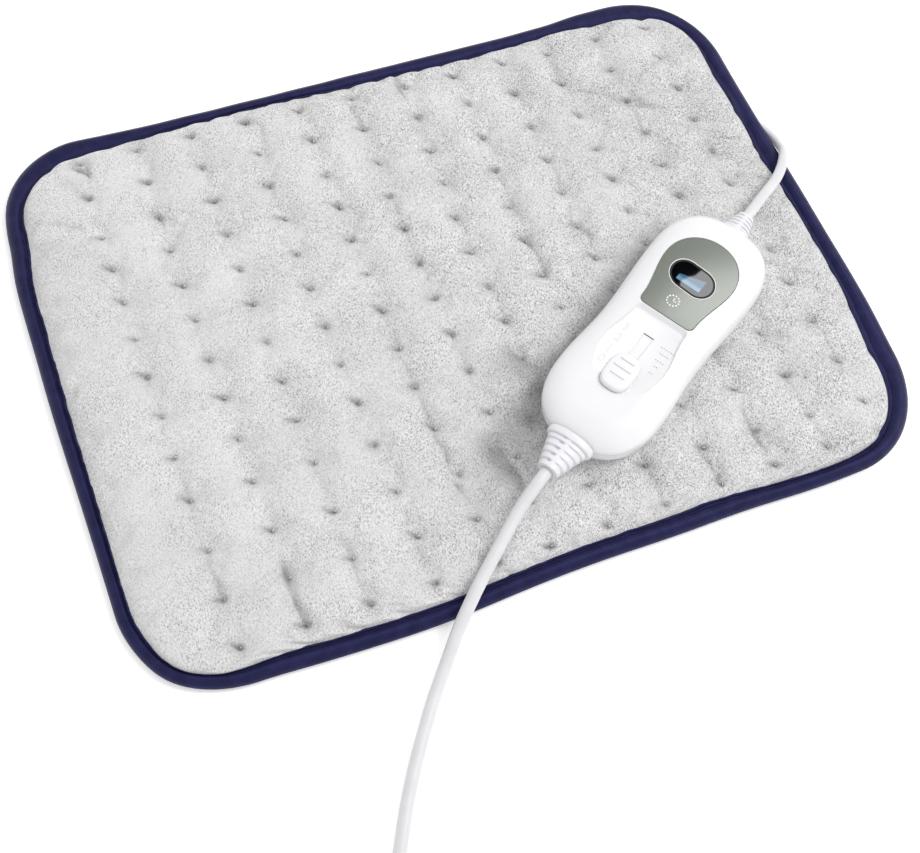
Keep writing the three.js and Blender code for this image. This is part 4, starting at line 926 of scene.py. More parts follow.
def build_binding():
    """The edge tape: a flattened round profile carried round the pad, its inner edge uneven, and
    its groove filled out where it goes over the lead's entry boot."""
    share = np.arange(len(TAPE_PROFILE) * TAPE_FINE) / TAPE_FINE
    k = share.astype(int)
    profile = cubic(*(TAPE_PROFILE[(k + d) % len(TAPE_PROFILE)] for d in (-1, 0, 1, 2)),
                    (share % 1)[:, None])
    base = pad_outline(0)
    rings = []
    for inset, height in profile:
        upper = height > 3
        ring = at_height(pad_outline(max(inset, 0)), max(height, 0.0))
        inner = np.clip((inset - 5.5) / 2, 0, 1) * upper
        wander = 0.35 * value_noise(ring[:, 0], ring[:, 1], 7, 41)
        wander = (wander + 0.35 * value_noise(ring[:, 0], ring[:, 1], 2.4, 43)) * inner
        out = base - ring[:, :2]
        reach = np.maximum(np.linalg.norm(out, axis=1, keepdims=True), 1e-6)
        ring[:, :2] += out / reach * wander[:, None]
        ring[:, 0], ring[:, 1] = sewn(ring[:, 0], ring[:, 1])
        swell = 0.22 * value_noise(base[:, 0], base[:, 1], 15, 42)
        ring[:, 2] += swell * upper + corner_lift(ring[:, 0], ring[:, 1])
        groove = 1.3 * math.exp(-((inset - TAPE_GROOVE) / 0.5) ** 2) * upper
        boot = np.hypot(ring[:, 0] - BOOT_UNDER_TAPE[0], ring[:, 1] - BOOT_UNDER_TAPE[1])
        ring[:, 2] += groove * np.exp(-(boot / 15) ** 2)
        rings.append(ring)
    points, quads = lofted(rings, loop=True)
    round_pad, across = (run_of(np.concatenate([line, line[:1]])) for line in (base, profile))
    ring, k = divmod(quads[:, 0], len(base))
    uv = MM * np.stack([round_pad[np.stack([k, k + 1, k + 1, k], axis=1)],
                        across[np.stack([ring, ring, ring + 1, ring + 1], axis=1)]], axis=-1)
    tape = woven_edge_tape(bpy.context.scene.heatpad_pad.tape)
    piece = new_piece("edge_tape", points * MM, quads, tape, 60, uv)
    finish(piece, PAD_BODY, "binding_tape", "edge_binding")


# Controller, in millimetres in its own frame

CONTROLLER = np.array([75.1, -60.2, 10.8])
TURN = math.radians(31.9)
TAIL_FACE, HEAD_FACE = -69.5, 75.2
PARTING = 12.0
BODY_TOP = 25.0
FIELD = 22.8
# Wall of the shells, half the gap between them, and the width and height of the rooms that
# the reliefs' roots stand in
WALL = 2.0
SHELL_GAP = 0.15
ROOM = (12.6, 7.6)
# How far the two strain reliefs stand out of the housing
MAINS_RELIEF, PAD_RELIEF = 20.5, 13.8


def placed(points):
    """Points from the controller's frame to the part's frame, in metres."""
    return (np.asarray(points, float) @ spin(TURN) + CONTROLLER) * MM


def housing_outline(inset):
    """The controller seen from above: an oval head, a waist and an oval tail."""
    head, waist, tail = 29.2, 27, 28.7
    half = np.concatenate([
        quarter(44, 34, head, 2.5, 44), swelling(44, head, -4, waist, 30),
        swelling(-4, waist, -36, tail, 24), (quarter(36, 35, tail, 2.5, 44) * [-1, 1])[::-1],
    ])
    return pushed_in(mirrored(half), inset)


def top_at(x):
    """Height of the top face: it falls off as powers of the distance towards both ends."""
    to_tail = np.maximum(5.5 - x, 0) / 76.5
    to_head = np.maximum(x - 51, 0) / 27
    return BODY_TOP - 4.4 * to_tail ** 1.6 - 3 * to_head ** 2


def shell_rings(rounding, fullness, inner, height_at, start, steps=26):
    """Rings of a rounded half shell: the inset and the height follow a superellipse."""
    rings = []
    for k in range(steps + 1):
        angle = k / steps * math.pi / 2
        inset = inner + rounding * (1 - math.cos(angle) ** (2 / fullness))
        outline = housing_outline(inset)
        outline[:, 0] = np.clip(outline[:, 0], TAIL_FACE + inner, HEAD_FACE - inner)
        share = math.sin(angle) ** (2 / fullness)
        rings.append(at_height(outline, start + (height_at(outline[:, 0]) - start) * share))
    return rings


def solid(name, rings, material, smooth=35.0, loop=False):
    """A closed piece in the controller's frame from its rings."""
    points, faces = lofted(rings, loop)
    return new_piece(name, placed(points), faces, material, smooth)


def box_rings(low, high):
    """A block between two of its corners."""
    outline = np.array([[high[0], high[1]], [low[0], high[1]], [low[0], low[1]], [high[0], low[1]]])
    return [at_height(outline, low[2]), at_height(outline, high[2])]


def plate_outline(grown):
    """The display plate seen from above: an oval head, sides that draw in, and two round corners."""
    low, side, corner = 5.5 - grown, 14.8 + grown, 3 + grown
    angle = np.arange(13) / 12 * math.pi / 2
    corners = np.stack([low + corner * (1 - np.sin(angle)), side - corner * (1 - np.cos(angle))],
                       axis=1)
    half = np.concatenate([
        quarter(38, 19.2 + grown, 19 + grown, 2.0, 44),
        swelling(38, 19 + grown, low + corner, side, 30), corners,
    ])
    return mirrored(half)


def window_outline(grown, count=60):
    """The window seen from above: two half circles and two sides, leaning a little."""
    angle = (np.arange(count) + 0.5) / count * math.pi
    radius = 8.1 + grown
    half = np.stack([31.8 + radius * np.cos(angle), 3.9 + radius * np.sin(angle)], axis=1)
    outline = mirrored(half) + [0, 0.4]
    outline[:, 0] += 0.07 * (outline[:, 1] - 4.3)
    return outline


def recess_outline(share):
    """The sunk field: share 0 is its floor and 1 its rim, which lies 2.6 mm outside at the display
    and 1 mm outside elsewhere."""
    slope, side_slope = 2.6 * (1 - share), 1.0 * (1 - share)
    top_x, top_side, widest, corner = 5.2 - slope, 14.25 - side_slope, 17.8 - side_slope, 2.5
    angle = np.arange(10) / 9 * math.pi / 2
    corners = np.stack([top_x - corner * (1 - np.cos(angle)),
                        top_side - corner * (1 - np.sin(angle))], axis=1)
    end = quarter(21, 24 - side_slope, widest, 2.2, 44) * [-1, 1]
    half = np.concatenate([corners, swelling(top_x - corner, top_side, -21, widest, 30)[1:],
                           end[::-1]])
    return mirrored(half)


def shell_cutters(white, height_at, rounding, fullness, open_side):
    """What both shells lose: the cavity, open towards the other shell, and the reliefs' rooms."""
    cavity = [at_height(housing_outline(WALL), PARTING + open_side)]
    cavity += shell_rings(rounding, fullness, WALL, height_at, PARTING, 14)
    cutters = [solid("cavity", cavity, white)]
    for face, way in ((TAIL_FACE, -1), (HEAD_FACE, 1)):
        cutters.append(solid("room", relief_rings([(6, *ROOM), (-6, *ROOM)], face, way), white))
    return cutters


def build_upper_shell(white):
    """The upper shell: a superelliptic skin less its cavity, the sunk field, the slot and rooms."""
    top = solid("upper_shell", shell_rings(15, 2.1, 0, top_at, PARTING + SHELL_GAP), white)
    recess = [at_height(recess_outline(share), FIELD + (BODY_TOP - FIELD) * rise)
              for share, rise in ((0, 0), (0.12, 0.03), (0.3, 0.2), (0.5, 0.45), (0.7, 0.7),
                                  (0.85, 0.88), (0.96, 0.97), (1.1, 1.0))]
    recess.append(at_height(recess_outline(1.1), BODY_TOP + 5))
    seat = [at_height(plate_outline(grown), height)
            for grown, height in ((0.22, 23.7), (0.22, 24.8), (0.45, 25.05), (0.45, 30))]
    cavity, *rooms = shell_cutters(white, lambda x: np.minimum(top_at(x) - 1.6, 20.8), 15, 2.1, -3)
    cutters = [
        cavity,
        solid("field", recess, white),
        solid("seat", seat, white),
        solid("panel_room", box_rings((26.6, -9.6, 10), (37.4, 9.6, 26)), white),
        solid("shutter_room", box_rings((-46, -4.7, 17), (14.3, 4.7, 22.2)), white),
        solid("slot", box_rings((-38.1, -2.8, 10), (-7.3, 2.8, 26)), white),
        *rooms,
    ]
    return carve(top, cutters, smooth=32)


def build_lower_shell(white):
    """The lower shell: a superelliptic skin less its cavity, the reliefs' rooms and screw wells."""
    bottom = solid("lower_shell", shell_rings(9, 2.4, 0, np.zeros_like, PARTING - SHELL_GAP), white)
    cutters = shell_cutters(white, lambda x: np.full_like(x, WALL), 9, 2.4, 3)
    for x in (-55, 65):
        for y in (-13, 13):
            well = oval(6.2, 6.2, 2, 32) + [x, y]
            cutters.append(solid("well", [at_height(well, -2), at_height(well, 3)], white))
    return carve(bottom, cutters, smooth=32)


def build_housing(materials):
    """Both shells of the controller."""
    top = build_upper_shell(materials["shell"])
    bottom = build_lower_shell(materials["shell"])
    finish(top, PAD_BODY, "white_shell", "housing_top")
    finish(bottom, PAD_BODY, "white_shell", "housing_bottom")


def relief_rings(sections, face, way, count=64):
    """Oval rings along x: each section is a distance out of the housing, a width and a height."""
    rings = []
    for out, across, up in sections:
        ring = oval(across, up, 2.2, count)
        rings.append(np.column_stack([np.full(count, face + way * out), ring[:, 0],
                                      PARTING + ring[:, 1]]))
    return rings


def relief_groove(x, collar, length):
    """How deep the grooves are along a relief, as a share: four flat-bottomed ones, and a thin one
    behind its collar."""
    phase = (x - collar) / ((length - collar) / 4.6) - 0.6
    groove = np.clip(1 - (np.abs(phase - np.round(phase) - 0.2) / 0.2) ** 4, 0, 1)
    groove *= (phase > -0.3) & (phase < 3.9)
    return groove + 0.8 * np.exp(-((x - collar) / 0.28) ** 2)


def build_relief(name, face, way, length, width, height, end, slit, node, material):
    """A strain relief: its half sizes taper, less smooth grooves that stop at a spine along it.
    A slit, with its depth, cuts each groove through beside the spine."""
    count, fullness = 96, 2.2
    collar = 0.2 * length
    x = np.linspace(GAP, length, 110)
    angle = turns(count)
    taper = np.clip((x - collar) / (length - collar), 0, 1)
    rounded = np.sqrt(np.clip(1 - ((x - collar * 0.45) / (collar * 0.62)) ** 2, 0, 1))
    half_w, half_h = (
        np.where(x < collar, size / 2 * (0.9 + 0.1 * rounded),
                 size / 2 * 0.88 * (1 - taper) + end / 2 * taper) for size in (width, height))
    groove = relief_groove(x, collar, length)
    across = np.cos(angle)[None, :] * half_w[:, None]
    spine = np.exp(-(across / 1.3) ** 4)
    cut = np.exp(-((across - 2.3) / 1.3) ** 4) * (np.sin(angle) > 0)[None, :]
    depth = groove[:, None] * (0.9 * (1 - 0.85 * spine) + slit * cut)
    unit = full_round(count, fullness)
    rings = np.stack([
        np.broadcast_to((face + way * x)[:, None], depth.shape),
        (half_w[:, None] - depth) * unit[None, :, 0],
        PARTING + (half_h[:, None] - depth) * unit[None, :, 1],
    ], axis=-1)
    root = relief_rings([(-4.1, 14.6, 9.6), (-2.5, 14.6, 9.6), (-2.5, 12, 7), (GAP, 12, 7)],
                        face, way, count)
    piece = solid(name, np.array(root + list(rings)), material, 50)
    finish(piece, PAD_BODY, "white_relief", node)


def window_rings(loops):
    """Rings on the window's outline, from how far each stands outside it and its height."""
    return np.array([at_height(window_outline(grown), height) for grown, height in loops])


def build_plate(materials):
    """The display plate: a ring between its outline and the window's, with eased edges. Trim, seal
    and window follow inwards, and the lit panel stands a hair above the glass so that it shows."""
    outer = plate_outline(0)
    half = len(outer) // 2
    loops = [
        (outer, 24.0), (outer, 24.75), (pushed_in(outer, 0.22), BODY_TOP),
        (window_outline(0.65, half), BODY_TOP), (window_outline(0.35, half), 24.7),
        (window_outline(0.25, half), 24.5), (window_outline(0.25, half), 24.0),
    ]
    rings = np.array([at_height(outline, height) for outline, height in loops])
    plate = solid("display_panel_plate", rings, materials["plate"], 28, loop=True)
    finish(plate, PAD_BODY, "plate_finish", "display_plate")
    trim = window_rings([(0.54, 24.9), (0.52, 25.05), (0.22, 25.05), (0.2, 24.6)])
    finish(solid("window_trim", trim, materials["print"], 28, loop=True), PAD_BODY, "white_shell")
    seal = window_rings([(-0.05, 24.2), (-0.05, 24.66), (-0.85, 24.7), (-0.85, 24.2)])
    finish(solid("window_seal", seal, materials["seal"], 28, loop=True), PAD_BODY, "window")
    glass = window_rings([(-0.87, 24.0), (-0.87, 24.82), (-0.95, 24.88)])
    finish(solid("window_glass", glass, materials["glass"], 28), PAD_BODY, "window",
           "display_window")
    corners = np.array([(34.3, -6.2), (30.4, 7.0), (27.0, 7.0), (26.8, -6.0)])
    lit = [at_height(corners, 24.5), at_height(corners, 24.905)]
    finish(solid("lit_field", lit, materials["lit"]), PAD_BODY, "lcd_panel")


def stroke(points, width, height, low):
    """A raised line through points: an oblong per stretch, its ends overlapping at the corners."""
    rings = []
    for a, b in zip(points[:-1], points[1:]):
        a, b = np.array(a, float), np.array(b, float)
        way = (b - a) / np.linalg.norm(b - a)
        side = np.array([-way[1], way[0]]) * width / 2
        a, b = a - way * width / 2, b + way * width / 2
        outline = np.array([b + side, a + side, a - side, b - side])
        rings.append([at_height(outline, low), at_height(outline, low + height)])
    return rings


def joined_strokes(name, groups, material):
    """One piece in the controller's frame from the rings of many small closed bodies."""
    points, quads = joined(groups)
    return new_piece(name, placed(points), quads, material, 30)


def square_wave(x, y, teeth, pitch, reach):
    """A line of square teeth that starts and ends low: the usual sign for a heat step."""
    line = [(x - reach, y)]
    for k in range(teeth):
        left = y - k * pitch
        line += [(x + reach, left), (x + reach, left - pitch / 2), (x - reach, left - pitch / 2)]
        line.append((x - reach, left - pitch))
    return line


def build_signs(materials):
    """Raised figures and heat signs in the sunk field, and the clock sign on the plate: twelve
    printed dots and two hands."""
    signs = []
    for teeth, x in ((3, -10.5), (2, -18.0), (1, -25.6)):
        line = square_wave(x, -11.9 + 1.3 * teeth, teeth, 2.6, 1.7)
        signs += stroke(line[:-1], 0.4, 0.16, FIELD - 0.1)
    finish(joined_strokes("heat_signs", signs, materials["raised"]), PAD_BODY, "white_shell")
    clock = []
    middle, radius, low, ink = np.array([15, 1.2]), 3.05, BODY_TOP - 0.03, 0.06
    for k in range(12):
        dot = oval(0.85, 0.85, 2, 16) + middle + radius * heading(k * math.pi / 6)[:2]
        clock.append([at_height(dot, low), at_height(dot, low + ink)])
    clock += stroke([middle, middle + [1.5, 0]], 0.4, ink, low)
    clock += stroke([middle, middle - [0, 1.4]], 0.4, ink, low)
    finish(joined_strokes("clock_sign", clock, materials["print"]), PAD_BODY, "white_shell")
    for figure, x, y in (("3", -10.2, 11.4), ("2", -17.3, 11.0), ("1", -24.8, 11.3),
                         ("0", -31.4, 11.2)):
        build_figure(figure, x, y, materials["raised"])


def build_figure(figure, x, y, material):
    """One raised figure: a text extruded and eased, made a mesh, then laid in its place."""
    text = bpy.data.curves.new("figure_" + figure, "FONT")
    text.body, text.size, text.extrude = figure, 6.6 * MM, 0.1 * MM
    text.bevel_depth, text.align_x, text.align_y = 0.06 * MM, "CENTER", "CENTER"
    maker = bpy.data.objects.new("maker", text)
    bpy.context.scene.collection.objects.link(maker)
    bpy.context.view_layer.update()
    shown = maker.evaluated_get(bpy.context.evaluated_depsgraph_get())
    mesh = bpy.data.meshes.new_from_object(shown)
    bpy.data.objects.remove(maker)
    place = Vector(placed([[x, y, FIELD]])[0])
    mesh.transform(Matrix.Translation(place) @ Matrix.Rotation(TURN - math.pi / 2, 4, "Z"))
    mesh.materials.clear()
    mesh.materials.append(material)
    piece = bpy.data.objects.new("figure_" + figure, mesh)
    bpy.context.scene.collection.objects.link(piece)
    finish(piece, PAD_BODY, "white_shell")


def build_slider(materials):
    """The slider: a pillow-topped oval cap with three ribs, and its stem through the slot."""
    length, width, count, rounding = 20.6, 14.6, 96, 1.5
    foot, shoulder, dome = 23.1, 24.0, 1.6
    middle = -22.8 - length / 2

    def ring(inset, fullness, height):
        outline = oval(length - 2 * inset, width - 2 * inset, fullness, count)
        return at_height(outline + [middle, 0], height)

    rings = [ring(0, 3.0, foot)]
    for k in range(13):
        angle = k / 12 * math.pi / 2
        rings.append(ring(rounding * (1 - math.cos(angle)), 3.0, shoulder + dome * math.sin(angle)))
    for inset in (3.0, 5.0):
        rings.append(ring(inset, 2.6, shoulder + dome + 0.1 * (inset - rounding) / 3.5))
    piece = solid("slider_cap", rings, materials["shell"], 40)
    added = []
    for x, across in ((-27, 7.6), (-31.6, 9.6), (-36.2, 7.6)):
        ridge = [at_height(oval(wide, long, 4, 32) + [x, 0], height)
                 for wide, long, height in ((1.1, across, 25.2), (1.1, across, 26.0),
                                            (0.7, across - 0.4, 26.3))]
        added.append(solid("ridge", ridge, materials["shell"]))
    added.append(solid("stem", box_rings((-37.8, -2.5, 17.2), (-29.8, 2.5, 23.6)),
                       materials["shell"]))
    carve(piece, added, "UNION", 40)
    finish(piece, SLIDER_BODY, "white_shell", "slider_button")


def build_shutter(materials):
    """The strip that closes the slot under the slider: low at its tail end, it rises by a smooth
    step to just under the slot."""
    thick, half_width = 0.5, 4.2
    x = np.linspace(-59.2, -7.5, 40)
    low = 19.2 + 2.35 * eased((x + 52) / 10)
    rings = np.stack([np.stack([x, np.full_like(x, side), low + up], axis=-1) for side, up in (
        (half_width, 0), (half_width, thick), (-half_width, thick), (-half_width, 0))], axis=1)
    finish(solid("slot_shutter", rings, materials["shell"], 40), SLIDER_BODY, "white_shell")


# Leads

PAD_LEAD_ROUTE = [
    (200.6, 47.6, 2.9), (202.2, 43.2, 2.9), (203, 38.6, 3.2), (202.3, 34, 4.8), (200.5, 29.7, 7.6),
    (198, 25.5, 10.1), (195.2, 21.4, 11.8), (191.2, 16.3, 13.3), (182.5, 8.2, 15.9),
    (168, -1.7, 20.2),
]
MAINS_ROUTE = [
    (-19, -119.2, 19.3), (-32.4, -130.4, 16.2), (-44.2, -140.5, 14.2), (-53.6, -149, 12.2),
    (-64.2, -159.4, 8.9), (-74, -170.6, 5.2), (-84, -182.2, 3.3), (-94, -195.2, 3.1),
    (-102.2, -206.6, 3.1), (-110.8, -219.8, 3.1), (-119.9, -235.8, 3.1), (-130, -254, 3.3),
    (-140.2, -272, 3.9),
]
TAIL_ROUTE = [
    (-131, -269, 23.2), (-145, -271.6, 20.6), (-161, -279.5, 15.8), (-173.5, -292, 11),
    (-180.4, -306, 8),
]
# Thickness of the two leads, and the gap between pieces that touch in the real object
MAINS, PAD_LEAD = 6.0, 4.8
GAP = 0.3
COIL = np.array([-114.0, -311.0])
COIL_RADIUS, COIL_LAYERS, COIL_TURNS, COIL_PITCH = 34.0, 4, 2.4575, 6.6
COIL_ENTRY, COIL_FLOOR = math.radians(150.6), 4.2
GLAND = np.array([196.0, 58.0, 2.9])
GLAND_TURN = math.radians(-66)
PLUG = np.array([-182.0, -322.3, 6.85])
# The plug's pins: how far apart they stand, and half their thickness at distances from its neck
PIN_APART = 18.6
PIN_PROFILE = [(2.0, 28.3), (2.0, 53), (1.9, 53.8), (1.6, 54.4), (1.0, 54.85), (0.4, 55)]


def through(points, samples=12):
    """A centripetal Catmull-Rom curve through points, then resampled at even steps."""
    points = np.asarray(points, float)
    points = np.concatenate([[2 * points[0] - points[1]], points, [2 * points[-1] - points[-2]]])
    p0, p1, p2, p3 = (points[d:len(points) - 3 + d] for d in range(4))
    d0, d1, d2 = (np.linalg.norm(b - a, axis=1, keepdims=True) ** 0.5
                  for a, b in ((p0, p1), (p1, p2), (p2, p3)))
    m1 = ((p1 - p0) / d0 - (p2 - p0) / (d0 + d1) + (p2 - p1) / d1) * d1
    m2 = ((p2 - p1) / d1 - (p3 - p1) / (d1 + d2) + (p3 - p2) / d2) * d1
    t = (np.arange(samples) / samples)[None, :, None]
    p1, p2, m1, m2 = (a[:, None, :] for a in (p1, p2, m1, m2))
    curve = ((2 * t ** 3 - 3 * t ** 2 + 1) * p1 + (t ** 3 - 2 * t ** 2 + t) * m1
             + (3 * t ** 2 - 2 * t ** 3) * p2 + (t ** 3 - t ** 2) * m2)
    return np.concatenate([curve.reshape(-1, 3), points[-2:-1]])


def even(points, step):
    """Points at even distances along a line."""
    along = run_of(points)
    count = max(int(round(along[-1] / step)), 2)
    place = np.linspace(0, along[-1], count + 1)
    return np.stack([np.interp(place, along, points[:, k]) for k in range(3)], axis=1)


def swept(points, sections):
    """Rings across a line: a section's first number goes to the side and its second upwards."""
    way = np.gradient(points, axis=0)
    way /= np.linalg.norm(way, axis=1, keepdims=True)
    side = np.cross(way, [0, 0, 1.0])
    side /= np.linalg.norm(side, axis=1, keepdims=True)
    up = np.cross(side, way)
    return (points[:, None, :] + sections[..., :1] * side[:, None, :]
            + sections[..., 1:] * up[:, None, :])


def tube_piece(name, points, width, height, material, count=20):
    """A lead: an oval section along a line, its sizes single numbers or one for each point."""
    halves = np.stack([np.broadcast_to(size, len(points)) / 2 for size in (width, height)], axis=1)
    rings, quads = lofted(swept(points, halves[:, None, :] * full_round(count, 2)))
    return new_piece(name, rings * MM, quads, material, 60)


def coil_line(steps=40):
    """The coil: radius swings in and out once per two layers, and a half turn climbs a layer."""
    count = COIL_LAYERS * COIL_TURNS
    gone = np.linspace(0, count, int(count * steps) + 1)
    layer = np.minimum((gone / COIL_TURNS).astype(int), COIL_LAYERS - 1)
    share = gone / COIL_TURNS - layer
    swing = COIL_TURNS * COIL_PITCH / 2
    radius = COIL_RADIUS + np.where(layer % 2 == 0, 1, -1) * swing * (1 - 2 * share)
    height = np.full_like(gone, COIL_FLOOR)
    for k in range(1, COIL_LAYERS):
        height += COIL_PITCH * eased((gone - k * COIL_TURNS) * 2 + 0.5)
    angle = COIL_ENTRY + gone * 2 * math.pi
    line = np.stack([COIL[0] + radius * np.cos(angle), COIL[1] + radius * np.sin(angle), height],
                    axis=1)
    ways = np.stack([-np.sin(angle), np.cos(angle), np.zeros_like(angle)], axis=1)
    return line, ways[0], ways[-1]


def on_axis(x):
    """A point on the axis of the controller's leads, in the part's frame."""
    return heading(TURN) * x + CONTROLLER + [0, 0, PARTING]


def build_pad_lead(materials):
    """The pad lead: a flat oval that turns from its edge to its broad side as it climbs."""
    way, out = heading(GLAND_TURN), heading(TURN)
    end = on_axis(HEAD_FACE + PAD_RELIEF)
    line = [GLAND + way * GAP, GLAND + way * (GAP + PAD_LEAD), *map(np.array, PAD_LEAD_ROUTE),
            end + out * (GAP + PAD_LEAD), end + out * GAP]
    step, turn_start, turn_run = 0.8, 30, 22
    line = even(through(line), step)
    t = eased((np.arange(len(line)) * step - turn_start) / turn_run)
    piece = tube_piece("pad_lead", line, 3.9 + 1.6 * t, 4.9 - 1.1 * t, materials["lead"])
    finish(piece, PAD_BODY, "lead_white", "pad_cord")


def build_mains_lead(materials):
    """The mains lead in one length: from the controller, through its coil, to the plug."""
    out = -heading(TURN)
    start = on_axis(TAIL_FACE - MAINS_RELIEF)
    coil, coil_in, coil_out = coil_line()
    first = [start + out * GAP, start + out * (GAP + MAINS), *map(np.array, MAINS_ROUTE),
             coil[0] - coil_in * (2 * MAINS + GAP), coil[0] - coil_in * MAINS, coil[0]]
    plug_way = np.array([0, -1.0, 0])
    last = [coil[-1], coil[-1] + coil_out * MAINS, coil[-1] + coil_out * (2 * MAINS + GAP),
            *map(np.array, TAIL_ROUTE), PLUG - plug_way * (GAP + MAINS), PLUG - plug_way * GAP]
    line = even(np.concatenate([through(first), coil[1:-1], through(last)]), 1.6)
    piece = tube_piece("mains_lead", line, MAINS, MAINS, materials["lead"], 18)
    finish(piece, PAD_BODY, "lead_white", "mains_cord", "mains_coil", "mains_tail")


def plug_rings(profile, unit, x_middle):
    """Rings of a piece of the plug: a half width, a half height and a distance out for each."""
    across, up, out = (column[:, None] for column in np.transpose(profile))
    return np.stack([x_middle + across * unit[:, 0],
                     np.broadcast_to(PLUG[1] - out, (len(out), len(unit))),
                     PLUG[2] + up * unit[:, 1]], axis=-1)


def build_plug(materials):
    """The plug: oval sections from a ribbed neck to a broad flat body, and two turned pins."""
    neck_end, length, rib = 11, 36, 2.2
    x = np.linspace(0, length, 90)
    width = np.interp(x, [0, neck_end, 14.5, 21, 25, length], [10, 11, 15, 30, 35.3, 35.3])
    height = np.interp(x, [0, neck_end, 15, 20, 25, length], [10, 10.6, 11.6, 13.2, 13.7, 13.7])
    kernel = np.exp(-(np.arange(-8, 9) / 3.5) ** 2)
    kernel /= kernel.sum()
    width, height = (np.convolve(np.pad(v, 8, "edge"), kernel, "valid") for v in (width, height))
    neck = (x < neck_end) * 0.35 * (1 - np.cos(x / rib * 2 * math.pi)) / 2
    edge = 1 - 0.05 * np.clip((x - (length - 1)) / 1, 0, 1) ** 2
    profile = np.stack([(width / 2 - neck) * edge, (height / 2 - neck) * edge, x], axis=1)
    points, quads = lofted(plug_rings(profile, full_round(72, 3.2), PLUG[0]))
    body = new_piece("plug_shell", points * MM, quads, materials["plug"], 40)
    finish(body, PAD_BODY, "plug_white", "plug_body")
    for k, side in enumerate((PIN_APART / 2, -PIN_APART / 2)):
        profile = [(half, half, out) for half, out in PIN_PROFILE]
        points, quads = lofted(plug_rings(profile, full_round(28, 2), PLUG[0] + side))
        prong = new_piece(f"plug_prong_{k + 1}", points * MM, quads, materials["pin"], 40)
        finish(prong, PAD_BODY, "pin_metal", f"plug_pin_{k + 1}")


def build_tie(materials):
    """The tie: a round-cornered band about the coil's section, six millimetres wide."""
    reach = 8.11
    low = np.array([COIL_RADIUS - reach - MAINS / 2 - 0.5, 0.95])
    high = np.array([COIL_RADIUS + reach + MAINS / 2 + 0.3, 27.25])
    middle, half = (low + high) / 2, (high - low) / 2
    rings = []
    for width, thick in ((-3, 0.05), (-3, 0.85), (-2.7, 0.94), (2.7, 0.94), (3, 0.85), (3, 0.05)):
        outline = oval(2 * (half[0] + thick), 2 * (half[1] + thick), 14, 96) + middle
        rings.append(np.column_stack([outline[:, 0], np.full(96, width), outline[:, 1]]))
    points, quads = lofted(np.array(rings) @ spin(math.radians(-35)) + [*COIL, 0], loop=True)
    points[:, 2] = np.maximum(points[:, 2], 0.0)
    piece = new_piece("lead_tie", points * MM, quads, materials["tie"], 40)
    finish(piece, PAD_BODY, "tie_plastic", "coil_tie")


# Hidden parts keep their own solids and get the finish of their kind: colour, roughness, grain in
# millimetres, share of metal, and the parts

HIDDEN = [
    # Extruded silicone rubber: an even, satin brown
    ("silicone_sheathed_wire", "#c0703a", 0.55, 0.5, 0.0,
     ("heating_wire", "pad_lead_core_1", "pad_lead_core_2", "mains_wire_1", "mains_wire_2",
      "pad_wire_1", "pad_wire_2")),
    # Pressed phenolic resin: near black and half matt
    ("moulded_phenolic", "#2a2c30", 0.5, 0.4, 0.0,
     ("junction_block", "switch_carriage", "switch_body", "triac", "control_chip")),
    # Drawn steel: a clear metal sheen
    ("pressed_steel_case", "#b9bcc0", 0.35, 0.3, 1.0,
     ("thermal_cutout_1", "thermal_cutout_2", "detent_spring")),
    # Glass-fibre board under green solder resist: satin
    ("resist_coated_laminate", "#2f6b45", 0.4, 0.8, 0.0, ("circuit_board",)),
    # Dipped epoxy: ochre, with a soft gloss
    ("dipped_capacitor_case", "#b8813a", 0.3, 0.9, 0.0, ("film_capacitor",)),
    # Glazed ceramic: white and glossy
    ("glazed_ceramic_tube", "#ececee", 0.2, 1.2, 0.0, ("fuse",)),
    # Milky polystyrene: white and matt, so that it spreads the lamp's light
    ("diffusing_styrene", "#f0f0f2", 0.6, 0.7, 0.0, ("lcd_light_box",)),
    # Zinc plate on steel: bright, with a fine grain
    ("zinc_plated_steel", "#c4c7cb", 0.3, 0.2, 1.0,
     ("housing_screw_1", "housing_screw_2", "housing_screw_3", "housing_screw_4")),
]


def dress(node, material):
    """Gives a solid that keeps its own form its material."""
    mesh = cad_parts[node].data
    mesh.materials.clear()
    mesh.materials.append(material)


def dress_hidden():
    """Gives all hidden parts their finishes."""
    dress("heater_carrier", bpy.data.materials["needled_polyester_felt"])
    for name, colour, roughness, grain, metallic, nodes in HIDDEN:
        material = moulded(name, colour, roughness, grain, metallic=metallic)
        for node in nodes:
            dress(node, material)
    # Soft vinyl moulded round the lead's end: pale and half matt
    dress("pad_entry_gland", moulded("soft_moulded_vinyl", "#e9e9ec", 0.5, 0.5))
    dress("lcd_module", bpy.data.materials["backlit_display_panel"])


# Settings, operators and panel

def colour_setting(name, description, colour):
    """A colour property that starts at an sRGB hex value."""
    return FloatVectorProperty(name=name, description=description, subtype="COLOR", min=0, max=1,
                               default=linear(colour)[:3])


class PadSettings(bpy.types.PropertyGroup):
    """Height and colours of the pad."""
    crown: FloatProperty(name="Crown", description="Height of the plush between its tufts",
                         default=0.0095, min=0.0085, max=0.011, unit="LENGTH")
    plush: colour_setting("Plush", "Colour of the pile where it catches the light", "#e5e5e5")
    tape: colour_setting("Tape", "Colour of the edge tape", "#212143")


class ControllerSettings(bpy.types.PropertyGroup):
    """Colours of the controller."""
    shell: colour_setting("Shell", "Colour of the moulded shells and the slider", "#e6e6e8")
    plate: colour_setting("Plate", "Colour of the display plate's lacquer", "#7a7f78")


